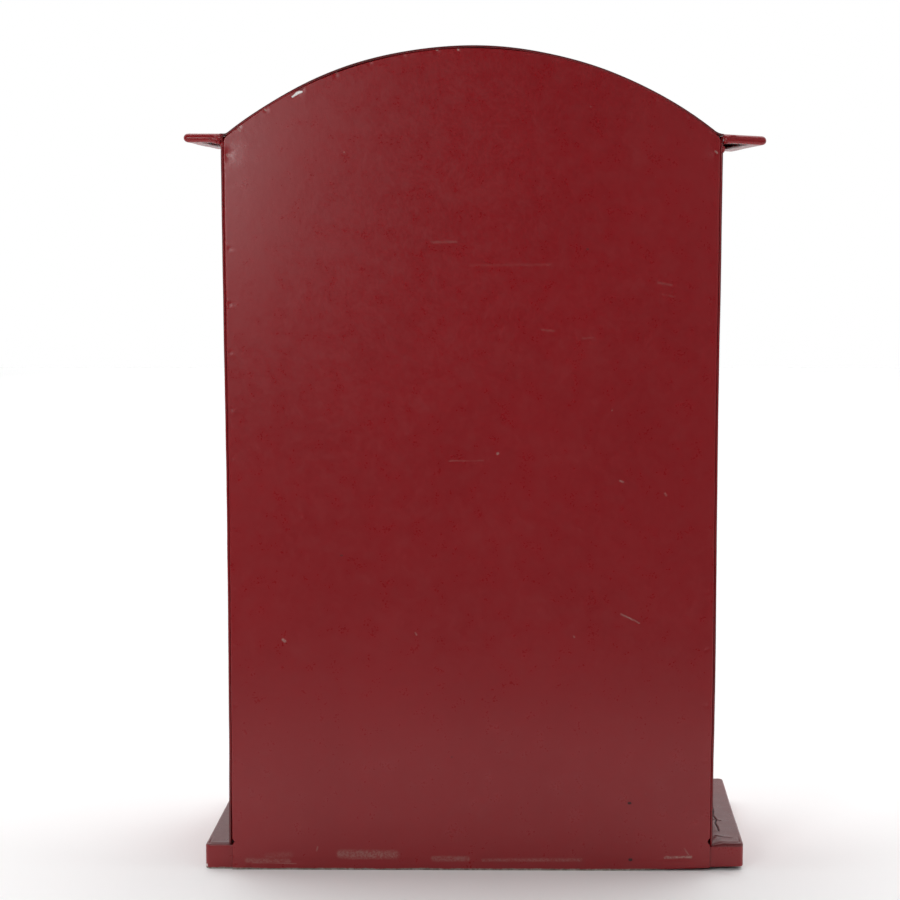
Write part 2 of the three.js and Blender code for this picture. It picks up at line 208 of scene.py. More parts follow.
def red_paint(name, marks=None, bottom_wear=None, peel=1.0, rough=0.32):
    """Satin enamel over sheet steel: mottled colour, orange peel, fine grain, wear."""
    m = Nodes(name)
    big = m.noise(0.018, 4.0, 0.55)
    mid = m.noise(0.11, 4.0, 0.6, offset=(31, 7, 11))
    fine = m.noise(0.9, 3.0, 0.55)
    col = m.mix(m.ramp(big, 0.35, 0.65), PAINT_A, PAINT_B)
    col = m.mix(m.ramp(mid, 0.3, 0.75, 0.0, 0.16), col, (0.245, 0.0050, 0.0085))
    col = m.mix(m.ramp(fine, 0.45, 0.8, 0.0, 0.10), col, (0.30, 0.009, 0.013))
    # dust and thin wiping haze
    haze = m.noise(0.03, 5.0, 0.65, 0.4, offset=(3, 60, 9))
    col = m.mix(m.ramp(haze, 0.52, 0.8, 0.0, 0.05), col, (0.36, 0.12, 0.11))
    r = m.math("ADD", rough, m.ramp(mid, 0.2, 0.8, -0.05, 0.05))
    r = m.math("ADD", r, m.ramp(fine, 0.3, 0.7, -0.03, 0.04))
    peel_h = m.noise(0.42, 2.0, 0.45, offset=(5, 5, 5))
    grain = m.noise(1.25, 2.0, 0.5)
    h = m.math("ADD", m.math("MULTIPLY", peel_h, 1.0), m.math("MULTIPLY", grain, 0.30))
    metal = 0.0
    wear = None
    if bottom_wear is not None:
        z_edge, depth = bottom_wear
        n = m.noise(0.35, 5.0, 0.7, 0.6, offset=(0, 11, 0))
        n2 = m.noise(0.05, 3.0, 0.5)
        lim = m.math("ADD", m.math("MULTIPLY", n, depth), m.math("MULTIPLY", n2, depth * 0.9))
        lim = m.math("ADD", lim, z_edge - depth * 0.55)
        d = m.math("SUBTRACT", lim, m.z)
        wear = m.ramp(d, -0.12, 0.22)
    if marks:
        extra_w, extra_d, white, shade = marks(m)
        if shade is not None:         # painted shade on the plinth's upward faces and on the cut edges of the roof and side sheets
            col = m.mix(shade, col, (0.028, 0.0085, 0.0095))
        if extra_w is not None:       # pale scuffs and chips, plus painted highlights at the back panel's dents
            col = m.mix(extra_w, col, (0.42, 0.30, 0.26))
            r = m.mixf(extra_w, r, 0.62)
        if extra_d is not None:       # dark spots
            col = m.mix(extra_d, col, (0.012, 0.004, 0.005))
            r = m.mixf(extra_d, r, 0.7)
        if white is not None:
            col = m.mix(white, col, (0.86, 0.84, 0.82))
            r = m.mixf(white, r, 0.6)
    if wear is not None:
        tone = m.mix(m.ramp(m.noise(0.5, 4.0, 0.6), 0.35, 0.7), BARE, (0.42, 0.37, 0.33))
        col = m.mix(wear, col, tone)
        r = m.mixf(wear, r, 0.5)
        metal = m.math("MULTIPLY", wear, 0.45)
        h = m.math("SUBTRACT", h, m.math("MULTIPLY", wear, 0.8))
    m.set(Base_Color=col, Roughness=r, Metallic=metal)
    m.bsdf.inputs["IOR"].default_value = 1.5
    m.bsdf.inputs["Specular IOR Level"].default_value = 0.5
    m.set(Normal=m.bump(h, 0.5 * peel, 0.00006))
    return m.mat


# darker copy of the case red: painted shade for the parts inside the box
def inside_paint_shaded(name):
    m = Nodes(name)
    n = m.noise(0.06, 4.0, 0.6)
    f = m.noise(0.8, 4.0, 0.6)
    col = m.mix(m.ramp(n, 0.35, 0.7), (0.105, 0.007, 0.010), (0.135, 0.012, 0.015))
    col = m.mix(m.ramp(f, 0.55, 0.8, 0.0, 0.4), col, (0.07, 0.012, 0.012))
    m.set(Base_Color=col, Roughness=m.ramp(n, 0.3, 0.7, 0.5, 0.65))
    m.set(Normal=m.bump(m.noise(0.5, 3.0, 0.5), 0.4, 0.00007))
    return m.mat


def zinc(name, base=(0.50, 0.51, 0.50)):
    m = Nodes(name)
    n = m.noise(0.6, 5.0, 0.65)
    s = m.noise(0.12, 3.0, 0.5, offset=(9, 2, 4))
    col = m.mix(m.ramp(n, 0.35, 0.7), base, (0.34, 0.33, 0.30))
    col = m.mix(m.ramp(s, 0.55, 0.8, 0.0, 0.5), col, (0.45, 0.42, 0.33))
    m.set(Base_Color=col, Metallic=1.0, Roughness=m.ramp(n, 0.3, 0.7, 0.3, 0.48))
    m.set(Normal=m.bump(m.noise(3.0, 2.0, 0.5), 0.25, 0.00003))
    return m.mat


def nickel(name, axis=1):
    m = Nodes(name)
    n = m.noise(0.9, 4.0, 0.6)
    st = m.noise(2.5, 2.0, 0.5, vec=m.vmath("MULTIPLY", m.p, (6, 0.3, 0.3) if axis == 0 else (0.3, 6, 0.3)))
    col = m.mix(m.ramp(n, 0.4, 0.75), (0.66, 0.66, 0.67), (0.50, 0.49, 0.47))
    m.set(Base_Color=col, Metallic=1.0, Roughness=m.ramp(st, 0.3, 0.7, 0.14, 0.26))
    m.set(Normal=m.bump(st, 0.15, 0.00002))
    return m.mat


# marks on the back panel, in its own plane (x, z in mm)
WIPES = [   # a, b, half width, softness, strength
    ((121.0, 5.0), (99.0, 4.8), 0.3, 1.8, 0.26), ((110.0, 7.6), (98.0, 8.4), 0.3, 2.4, 0.14), ((71.0, 8.8), (42.0, 8.4), 0.7, 2.6, 0.40),
    ((66.0, 7.4), (46.0, 7.6), 0.5, 1.8, 0.30),
    ((21.3, 6.3), (3.7, 6.3), 0.5, 1.7, 0.34), ((-4.9, 5.6), (-57.1, 5.9), 0.3, 1.1, 0.28),
    ((-101.9, 7.4), (-115.7, 7.7), 0.25, 0.7, 0.7),
]
SCRATCHES = [
    ((13.1, 220.2), (-4.6, 220.5), 0.10, 0.5, 0.13), ((-12.1, 224.1), (-12.4, 224.2), 0.35, 0.5, 0.43),
    ((22.3, 333.6), (9.5, 333.8), 0.15, 0.9, 0.11), ((2.3, 321.7), (-38.9, 322.2), 0.12, 1.0, 0.05),
    ((-76.0, 209.8), (-77.6, 209.2), 0.2, 0.6, 0.29), ((-99.5, 203.0), (-100.2, 202.2), 0.3, 0.5, 0.29),
    ((100.7, 125.0), (99.6, 124.3), 0.45, 0.5, 0.58), ((-77.2, 139.3), (-86.7, 134.5), 0.12, 0.55, 0.36),
    ((-52.5, 127.3), (-52.7, 126.6), 0.2, 0.4, 0.36), ((30.8, 128.8), (30.2, 127.9), 0.2, 0.5, 0.29),
    ((-101.5, 311.6), (-94.5, 313.0), 0.2, 0.7, 0.10), ((-97.0, 307.0), (-103.0, 305.5), 0.2, 0.6, 0.09),
    ((-35.0, 288.5), (-41.0, 288.0), 0.2, 0.6, 0.08), ((-56.0, 284.0), (-61.5, 284.6), 0.15, 0.6, 0.07),
    ((118.0, 3.9), (95.0, 3.4), 0.1, 0.4, 0.25), ((-112.0, 12.3), (-114.5, 9.0), 0.15, 0.4, 0.29),
    ((84.0, 10.5), (83.4, 12.6), 0.12, 0.5, 0.29),
]
SPECKS = [((-82.4, 37.2), 0.45, 0.45, 0.9), ((-83.2, 6.1), 0.5, 0.6, 0.95), ((69.8, 170.2), 0.2, 0.4, 0.6),
          ((-58.0, 330.0), 0.2, 0.4, 0.5), ((12.0, 62.0), 0.2, 0.4, 0.5)]


def back_marks_and_highlights(m):
    flat = m.vmath("MULTIPLY", m.p, (1, 0, 1))
    rag = m.noise(1.1, 5.0, 0.75, 0.2, offset=(0, 0, 21))
    rag2 = m.noise(0.16, 4.0, 0.65, 0.2)
    jit = m.vmath("SCALE", m.vmath("SUBTRACT", m.noise_vec(0.5), (0.5, 0.5, 0.5)), scale=0.9)
    jf = m.vmath("ADD", flat, m.vmath("MULTIPLY", jit, (1, 0, 1)))
    total = None
    for a, b, r, s, k in WIPES:
        c = m.capsule((a[0], 0, a[1]), (b[0], 0, b[1]), r, s, jf)
        c = m.math("MULTIPLY", c, m.ramp(rag, 0.38, 0.62, 0.15, 1.0))
        c = m.math("MULTIPLY", c, k)
        total = c if total is None else m.math("MAXIMUM", total, c)
    for a, b, r, s, k in SCRATCHES:
        c = m.capsule((a[0], 0, a[1]), (b[0], 0, b[1]), r, s, jf)
        if k < 0.99:
            c = m.math("MULTIPLY", c, m.ramp(rag2, 0.3, 0.6, 0.3, 1.0))
        c = m.math("MULTIPLY", c, k)
        total = m.math("MAXIMUM", total, c)
    # fine specks of overspray and dust scattered over the sheet
    vor = m.t.nodes.new("ShaderNodeTexVoronoi")
    vor.inputs["Scale"].default_value = 0.06
    m._in(vor.inputs["Vector"], flat)
    sp = m.ramp(vor.outputs["Distance"], 0.035, 0.012, 0.0, 0.35)
    total = m.math("MAXIMUM", total, m.math("MULTIPLY", sp, m.ramp(rag2, 0.48, 0.6)))
    dark = None
    for c0, r, s, k in SPECKS:
        c = m.math("MULTIPLY", m.capsule((c0[0], 0, c0[1]), (c0[0] - 0.6, 0, c0[1]), r, s, jf), k)
        dark = c if dark is None else m.math("MAXIMUM", dark, c)
    white = None
    for a, b, r in (((93.0, 407.6), (91.2, 408.7), 0.28), ((91.2, 408.7), (89.0, 409.9), 0.50), ((89.4, 409.9), (88.2, 410.0), 0.30)):
        c = m.capsule((a[0], 0, a[1]), (b[0], 0, b[1]), r, 0.25, jf)
        white = c if white is None else m.math("MAXIMUM", white, c)
    # painted highlights: small pale glints on the dents along the arch and on the blows at the shoulders
    for a, b, k in (((107.3, 401.2), (106.6, 400.6), 0.55), ((121.0, 391.4), (119.9, 390.2), 0.45), ((19.3, 430.9), (18.9, 430.9), 0.6),
                    ((8.5, 431.0), (8.2, 431.0), 0.6), ((70.9, 419.6), (70.2, 419.8), 0.35), ((-60.2, 422.6), (-60.9, 422.3), 0.4),
                    ((127.0, 378.4), (126.6, 377.4), 0.35), ((-123.1, 379.8), (-124.0, 378.9), 0.45)):
        c = m.math("MULTIPLY", m.capsule((a[0], 0, a[1]), (b[0], 0, b[1]), 0.22, 0.45, flat), k)
        total = m.math("MAXIMUM", total, c)
    # missing flake of paint above the chip: darker undercoat
    dark = m.math("MAXIMUM", dark, m.math("MULTIPLY", m.capsule((91.6, 0, 411.3), (88.2, 0, 412.0), 0.9, 0.5, jf), 0.35))
    return total, dark, white, None


def _noise_vec(self, scale):
    n = self.t.nodes.new("ShaderNodeTexNoise")
    self._in(n.inputs["Vector"], self.p)
    n.inputs["Scale"].default_value = scale
    n.inputs["Detail"].default_value = 3.0
    return n.outputs["Color"]


Nodes.noise_vec = _noise_vec

CRACK = [(-135.2, -7.1), (-134.6, 4.0), (-133.4, 12.0), (-134.3, 20.0), (-132.9, 27.0), (-133.2, 36.0), (-133.0, 41.0)]
CRACK2 = [(-131.2, 19.0), (-134.4, 21.2), (-136.6, 22.6)]
CRACK3 = [(-130.2, 50.2), (-134.0, 52.8), (-139.2, 54.6)]


def plinth_marks_and_shade(m):
    flat = m.vmath("MULTIPLY", m.p, (1, 1, 0))
    top = m.ramp(m.z, 11.5, 12.5)
    dark = None
    for line in (CRACK, CRACK2, CRACK3):
        for a, b in zip(line[:-1], line[1:]):
            c = m.capsule((a[0], a[1], 0), (b[0], b[1], 0), 0.12, 0.5, flat)
            dark = c if dark is None else m.math("MAXIMUM", dark, c)
    dark = m.math("MULTIPLY", m.math("MULTIPLY", dark, top), 0.85)
    corner = m.capsule((143.0, 63.0, 1.6), (143.2, 63.2, 2.2), 0.25, 0.6)
    rag = m.noise(0.5, 5.0, 0.7, 0.5, offset=(0, 0, 21))
    sc = m.math("MULTIPLY", m.ramp(rag, 0.62, 0.74, 0.0, 0.5), m.ramp(m.z, 4.0, 0.5))
    # painted shade: the upward faces of the plinth's top are darkened
    up = m.math("MULTIPLY", m.ramp(m.z, 12.3, 13.4), 0.62)
    return sc, dark, corner, up


def roof_edge_shade(m):
    """painted shade: a thin dark line along the cut edge of the arch"""
    edge = m.math("MULTIPLY", m.ramp(m.y, 64.55, 64.85), m.ramp(m.math("ABSOLUTE", m.math("SUBTRACT", m.x, BX)), 129.5, 127.5))
    rr = m.vmath("LENGTH", m.vmath("SUBTRACT", m.vmath("MULTIPLY", m.p, (1, 0, 1)), (BX, 0, Z_ARC)))
    edge = m.math("MULTIPLY", edge, m.ramp(rr, R_ROOF - 1.0, R_ROOF - 0.35, 0.15, 1.0))
    n = m.noise(0.5, 3.0, 0.6)
    return None, None, None, m.math("MULTIPLY", edge, m.ramp(n, 0.25, 0.6, 0.5, 0.8))


def side_edge_shade(m):
    """painted shade: a thin dark line along the rear edges of the side sheets"""
    n = m.noise(0.4, 3.0, 0.6)
    dx = m.math("ABSOLUTE", m.math("SUBTRACT", m.x, BX))
    k = m.math("MULTIPLY", m.ramp(m.y, 64.1, 64.5), m.ramp(dx, BODY_HW - 0.75, BODY_HW - 0.2, 0.1, 1.0))
    return None, None, None, m.math("MULTIPLY", k, m.ramp(n, 0.25, 0.6, 0.4, 0.7))


MAT_BACK = red_paint("red_back", marks=back_marks_and_highlights, bottom_wear=(0.55, 1.1))
MAT_PLINTH = red_paint("red_plinth", marks=plinth_marks_and_shade, bottom_wear=(0.55, 1.1))
MAT_RED = red_paint("red_case")
MAT_ROOF = red_paint("red_roof", marks=roof_edge_shade, peel=0.9)
MAT_SIDE = red_paint("red_side", marks=side_edge_shade)
MAT_DOOR = red_paint("red_door", rough=0.31)
MAT_IN_SHADED = inside_paint_shaded("inside_red_shaded")
MAT_ZINC = zinc("zinc_steel")
MAT_NICKEL = nickel("lock_nickel")


# ------------------------------------------------------------- mesh helpers
def make(name, verts, faces, body, mat, nodes=(), smooth_shade=True, solid=None,
         bevel=None, merge=None):
    me = bpy.data.meshes.new(name)
    bm = bmesh.new()
    vs = [bm.verts.new((v[0] * MM, v[1] * MM, v[2] * MM)) for v in verts]
    bm.verts.ensure_lookup_table()
    for f in faces:
        f = [vs[i] for i in dict.fromkeys(f)]
        if len(f) > 2:
            try:
                bm.faces.new(f)
            except ValueError:
                pass
    if merge:
        bmesh.ops.remove_doubles(bm, verts=bm.verts, dist=merge * MM)
    loose = [v for v in bm.verts if not v.link_faces]
    bmesh.ops.delete(bm, geom=loose, context="VERTS")
    bm.to_mesh(me)
    bm.free()
    for p in me.polygons:
        p.use_smooth = smooth_shade
    me.materials.append(mat)
    ob = bpy.data.objects.new(name, me)
    bpy.context.scene.collection.objects.link(ob)
    if solid:
        s = ob.modifiers.new("sheet", "SOLIDIFY")
        s.thickness = solid * MM
        s.offset = -1.0
        s.use_even_offset = False
        s.use_quality_normals = True
    if bevel:
        b = ob.modifiers.new("edges", "BEVEL")
        b.width = bevel * MM
        b.segments = 2
        b.limit_method = "ANGLE"
        b.angle_limit = math.radians(40)
        b.harden_normals = False
    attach(ob, body)
    if nodes:
        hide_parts(*nodes)
    return ob


def fix_normals(ob, outward):
    """Flip the faces when their mean normal is against the given direction function."""
    me = ob.data
    s = 0.0
    for p in me.polygons:
        d = outward(p.center / MM)
        s += p.normal.dot(Vector(d)) * p.area
    if s < 0:
        me.flip_normals()


def cdt(points, loops, holes_test=None):
    """Constrained triangulation; loops are lists of point indices."""
    edges = []
    for lp in loops:
        edges += [(lp[i], lp[(i + 1) % len(lp)]) for i in range(len(lp))]
    vs, es, fs, vo, eo, fo = delaunay_2d_cdt([Vector(p) for p in points], edges, [], 0, 1e-6, True)
    return vs, fs, vo


def inside_poly(pt, poly):
    x, y = pt
    c = False
    j = len(poly) - 1
    for i in range(len(poly)):
        xi, yi = poly[i]
        xj, yj = poly[j]
        if (yi > y) != (yj > y) and x < (xj - xi) * (y - yi) / (yj - yi) + xi:
            c = not c
        j = i
    return c


def grid_faces(nr, nc, start=0, closed=False):
    out = []
    for i in range(nr - 1):
        for j in range(nc if closed else nc - 1):
            k = (j + 1) % nc
            out.append((start + i * nc + j, start + i * nc + k, start + (i + 1) * nc + k, start + (i + 1) * nc + j))
    return out


def lathe(profile, axis, c, n=40, closed=True):
    """profile [(r, h)] turned about an axis through c; returns verts, faces."""
    verts = []
    for r, h in profile:
        for j in range(n):
            a = 2 * math.pi * j / n
            u, v = r * math.cos(a), r * math.sin(a)
            if axis == "x":
                verts.append((h, c[0] + u, c[1] + v))
            elif axis == "y":
                verts.append((c[0] + u, h, c[1] + v))
            else:
                verts.append((c[0] + u, c[1] + v, h))
    m = len(profile)
    faces = grid_faces(m, n, closed=True)
    if closed:
        faces += [((m - 1) * n + j, (m - 1) * n + (j + 1) % n, (j + 1) % n, j) for j in range(n)]
    return verts, faces


def round_profile(pts, r, n=4):
    """Round the corners of a closed polygon of [(a, b)] by radius r."""
    out = []
    m = len(pts)
    for i in range(m):
        p0, p1, p2 = (Vector(pts[(i + k) % m]) for k in (-1, 0, 1))
        a, b = (p0 - p1), (p2 - p1)
        la, lb = a.length, b.length
        a.normalize()
        b.normalize()
        rr = min(r, la * 0.45, lb * 0.45)
        for k in range(n + 1):
            t = k / n
            q = (p1 + a * rr) * (1 - t) ** 2 + p1 * 2 * t * (1 - t) + (p1 + b * rr) * t ** 2
            out.append((q.x, q.y))
    return out


def rbox(x0, x1, y0, y1, z0, z1, r=0.25, seg=2):
    bm = bmesh.new()
    bmesh.ops.create_cube(bm, size=1.0)
    for v in bm.verts:
        v.co = Vector(((x0 + x1) / 2 + v.co.x * (x1 - x0), (y0 + y1) / 2 + v.co.y * (y1 - y0),
                       (z0 + z1) / 2 + v.co.z * (z1 - z0)))
    bmesh.ops.bevel(bm, geom=bm.edges[:], offset=r, segments=seg, profile=0.5, affect="EDGES")
    verts = [tuple(v.co) for v in bm.verts]
    bm.verts.index_update()
    faces = [[v.index for v in f.verts] for f in bm.faces]
    bm.free()
    return verts, faces


def join(*parts):
    verts, faces = [], []
    for v, f in parts:
        k = len(verts)
        verts += list(v)
        faces += [tuple(i + k for i in q) for q in f]
    return verts, faces


# --------------------------------------------------------------- side bow
def bow(x, z):
    """How far the body's side stands out from plumb, in mm (hand-bent sheet)."""
    if x > BX:
        return (-0.55 * gauss(z - 195, 95) + 0.55 * (1 - smooth(20, 75, z)) * smooth(0, 8, z + 6)
                + 0.12 * wob(0, z, 22, 3))
    return -0.32 * gauss(z - 245, 70) + 0.20 * gauss(z - 110, 45) + 0.12 * wob(0, z, 22, 5)


def lift(x):
    """The rear bottom corner on the -X side is bent up a little."""
    return 2.0 * smooth(-62, -146, x) ** 1.2


# ------------------------------------------------------------- arched pans
def pan_outline(z0, step):
    """Open outline from the foot on +X over the arch to the foot on -X: points, normals."""
    rf = 4.5
    zs = Z_ARC + math.sqrt((PAN_R - rf) ** 2 - (HW - rf) ** 2)      # centre of the shoulder arc
    ang = math.atan2(zs - Z_ARC, HW - rf)
    P, N = [], []
    n = int((zs - z0) / step)
    for i in range(n):
        P.append((HW, z0 + (zs - z0) * i / n))
        N.append((1.0, 0.0))
    for i in range(9):
        a = ang * i / 9
        P.append((HW - rf + rf * math.cos(a), zs + rf * math.sin(a)))
        N.append((math.cos(a), math.sin(a)))
    m = int(PAN_R * (math.pi - 2 * ang) / step)
    for i in range(m + 1):
        a = ang + (math.pi - 2 * ang) * i / m
        P.append((PAN_R * math.cos(a), Z_ARC + PAN_R * math.sin(a)))
        N.append((math.cos(a), math.sin(a)))
    half = len(P)
    for i in range(n + 9 - 1, -1, -1):
        P.append((-P[i][0], P[i][1]))
        N.append((-N[i][0], N[i][1]))
    return P, N


def arched_pan(name, face, sgn, z0, z_flange, height, notch, bow_on, holes, extra, body, mat, node, step=0.85):
    P, N = pan_outline(z0, step)
    D = [0.0, 0.1, 0.22, 0.36, 0.52, 0.72, 1.0, 1.4, 1.9, 2.5, 3.2, 4.0]

    def place(x, z, d, nx, nz, shift=0.0):
        r = 0.45 + 0.45 * smooth(15.0, 18.0, z) - 0.5 * smooth(383.0, 388.0, z)
        rd = r - math.sqrt(max(0.0, r * r - (r - min(d, r)) ** 2))
        X = BX + x
        b = bow(X, z) * smooth(70, 127, abs(x)) if bow_on else 0.0
        b = max(-0.6, min(0.25, b))
        X += math.copysign(1, x) * b
        h = height(X, z, d)
        zz = z
        if bow_on and z < 12:
            zz = z + lift(X) * (1 - z / 12)
        return (X, face + sgn * (h - rd - shift), zz)

    verts, flat2d = [], []
    for d in D:
        for (x, z), (nx, nz) in zip(P, N):
            k = notch(x, z) * max(0.0, 1 - d / 4.5)
            x1, z1 = x - nx * (d + k), z - nz * (d + k)
            if abs(nx) > 0.999:
                z1 = z
            flat2d.append((x1, z1))
            verts.append(place(x1, z1, d, nx, nz))
    nc = len(P)
    faces = grid_faces(len(D), nc)
    # interior
    inner = [flat2d[(len(D) - 1) * nc + j] for j in range(nc)]
    nb_ = 46
    bottom = [(inner[-1][0] + (inner[0][0] - inner[-1][0]) * i / nb_, z0) for i in range(1, nb_)]
    pts = inner + bottom
    loops = [list(range(len(pts)))]
    hole_polys = []
    for hp in holes:
        loops.append(list(range(len(pts), len(pts) + len(hp))))
        pts = pts + hp
        hole_polys.append(hp)
    poly = inner + bottom
    g = 5.0
    rnd = random.Random(5)
    add = list(extra)
    for i in range(-26, 27):
        for j in range(0, 90):
            x, z = i * g + rnd.uniform(-1.2, 1.2), z0 + j * g + rnd.uniform(-1.2, 1.2)
            add.append((x, z))
    for x, z in add:
        if z > z0 + 1.2 and inside_poly((x, z), poly) and not any(inside_poly((x, z), h) for h in hole_polys):
            if min(HW - 4 - abs(x), (PAN_R - 4 - math.hypot(x, z - Z_ARC)) if z > Z_ARC else 9.0) > 0.7:
                pts.append((x, z))
    vs, fs, vo = cdt(pts, loops)
    base = len(verts)
    index = {}
    for k, v in enumerate(vs):
        src = vo[k]
        if src and src[0] < nc:
            index[k] = (len(D) - 1) * nc + src[0]
        else:
            index[k] = len(verts)
            d = 9.0
            verts.append(place(v.x, v.y, d, 0, 0))
    for f in fs:
        c = sum((vs[i] for i in f), Vector((0, 0))) / len(f)
        if inside_poly((c.x, c.y), poly) and not any(inside_poly((c.x, c.y), h) for h in hole_polys):
            faces.append(tuple(index[i] for i in f))
    # side and arch flange
    rows = [0.7, 2.5, 6.0, 9.6]
    first = [j for j in range(nc) if P[j][1] >= z_flange]
    prev = {j: j for j in first}
    for d in rows:
        cur = {}
        for j in first:
            (x, z), (nx, nz) = P[j], N[j]
            cur[j] = len(verts)
            verts.append(place(x, z, 0.0, nx, nz, d))
        for a, b in zip(first[:-1], first[1:]):
            if b == a + 1:
                faces.append((prev[a], prev[b], cur[b], cur[a]))
        prev = cur
    ob = make(name, verts, faces, body, mat, nodes=(node,), solid=T)
    bm = bmesh.new()
    bm.from_mesh(ob.data)
    bmesh.ops.recalc_face_normals(bm, faces=bm.faces)
    bm.to_mesh(ob.data)
    bm.free()
    cy = (face - sgn * 3)
    fix_normals(ob, lambda c: (0, sgn, 0) if abs(c.y - face) < 1.0 else (0, 0, 0))
    return ob


# spot-weld dimples of the back panel
DIMPLES = [(120.5, 392.0), (106.4, 400.6), (87.9, 410.9), (70.9, 418.1), (53.4, 424.1), (36.4, 427.9),
           (19.3, 430.0), (8.6, 430.3), (-11.8, 430.1), (-26.6, 428.4), (-41.7, 425.6), (-60.2, 420.8),
           (-80.6, 412.5), (-94.4, 405.9), (-109.8, 397.1), (-121.5, 389.6),
           (126.3, 330.2), (126.3, 301.9), (126.3, 277.0), (126.2, 247.4), (126.1, 221.7), (126.1, 183.7),
           (126.4, 152.0), (126.6, 121.0), (126.5, 90.0), (126.6, 60.0), (126.6, 33.0),
           (-122.0, 352.7), (-121.9, 323.1), (-122.5, 303.9), (-122.1, 292.1), (-122.9, 263.1),
           (-122.8, 240.7), (-121.5, 214.6), (-122.4, 183.0), (-122.6, 151.0), (-122.5, 120.0),
           (-122.6, 90.0), (-122.6, 60.0), (-122.5, 33.0)]
CLUSTER = [(-98.1, 311.6, 0.9, 0.09), (-94.8, 314.2, 0.8, 0.08), (-101.6, 313.4, 0.8, 0.08), (-96.6, 307.4, 0.9, 0.09),
           (-102.4, 308.2, 0.8, 0.07), (-92.6, 309.0, 0.7, 0.07), (-99.0, 316.8, 0.8, 0.07), (-104.6, 312.0, 0.6, 0.05),
           (-76.0, 209.8, 0.7, 0.08), (-99.5, 203.0, 0.7, 0.08), (100.6, 124.9, 0.8, 0.14), (-12.1, 224.1, 0.7, 0.10),
           (-52.5, 127.0, 0.6, 0.07), (30.8, 128.6, 0.6, 0.07), (16.0, 333.7, 2.4, 0.06), (-82.4, 37.2, 0.5, 0.2)]


def rim(X, z):
    """distance in from the outline of a pan"""
    a = BODY_HW - abs(X - BX)
    return max(0.0, min(a, PAN_R - math.hypot(X - BX, z - Z_ARC) if z > Z_ARC else a))


def back_height(X, z, d):
    h = 0.16 * wob(X, z, 95, 1) + 0.07 * wob(X, z, 40, 2) + 0.018 * wob(X, z, 12, 4)
    h *= smooth(0, 30, rim(X, z))
    for cx, cz in DIMPLES:
        dx, dz = X - cx, z - cz
        if abs(dx) < 5 and abs(dz) < 5:
            r = math.hypot(dx, dz)
            h += -0.15 * gauss(r, 0.95) + 0.03 * gauss(r - 1.9, 0.7)
    for cx, cz, r0, a in CLUSTER:
        dx, dz = X - cx, z - cz
        if abs(dx) < 9 and abs(dz) < 9:
            h += -a * gauss(math.hypot(dx, dz), r0)
    # bottom fold: a shallow crease with a lip under it
    zf = 4.9 + 0.25 * wob(X, 0, 30, 6)
    h += -0.16 * gauss(z - zf, 0.55) + 0.06 * gauss(z - zf - 1.6, 1.0)
    h += 0.06 * wob(X, z, 4.0, 9) * (1 - smooth(2, 12, z))
    # blows at the shoulders, just under the eaves
    h += -0.5 * gauss(math.hypot((X - 126.5), (z - 378.2) * 0.8), 2.4)
    h += -0.5 * gauss(math.hypot((X + 122.4), (z - 379.4) * 0.8), 2.2)
    # chip
    a = (X - 90.6) * 0.93 - (z - 408.1) * -0.36
    b = (X - 90.6) * 0.36 + (z - 408.1) * 0.93
    h += -0.22 * gauss(a, 2.1) * gauss(b, 0.45)
    return h


def back_notch(x, z):
    """small open corners where the panel passes the top of the plinth"""
    if x > 0:
        return 1.5 * max(0.0, 1 - abs(z - 15.1) / 1.7)
    return 1.7 * max(0.0, 1 - abs(z - 15.9) / 2.1)


extra = []
for cx, cz, r0, a in CLUSTER:
    for ring in (0.0, 0.45, 0.9, 1.4, 2.0, 3.0):
        n = 1 if ring == 0 else 8
        for k in range(n):
            t = 2 * math.pi * k / n + ring
            extra.append((cx - BX + ring * r0 * math.cos(t), cz + ring * r0 * math.sin(t)))
for i in range(0, 118):                       # the bottom strip is finely meshed
    for j in range(0, 9):
        extra.append((-117.5 + i * 2.0, 1.4 + j * 1.25 + 0.3 * ((i % 2) - 0.5)))
back = arched_pan("back_sheet", Y_BACK, 1, 0.0, 42.0, back_height, back_notch, True, [], extra,
                  "case", MAT_BACK, "back_panel")

# ------------------------------------------------------------- side sheets
for name, node, side in (("side_sheet_right", "side_panel_right", 1), ("side_sheet_left", "side_panel_left", -1)):
    (x0, y0, z0), (x1, y1, z1) = nb(node)
    xo = x1 if side > 0 else x0
    ys = list(np.linspace(y0, y1, 24))
    zs = list(np.linspace(z0, z1, 92))
    verts = []
    for z in zs:
        for y in ys:
            b = max(-0.6, min(0.6, bow(BX + side * 50, z))) * smooth(y0, y1, y)
            b += 0.18 * wob(y, z, 60, 11 + side) * smooth(0, 12, min(y - y0, y1 - y))
            verts.append((xo + side * b, y, z))
    ob = make(name, verts, grid_faces(len(zs), len(ys)), "case", MAT_SIDE, nodes=(node,), solid=T)
    fix_normals(ob, lambda c, s=side: (s, 0, 0))

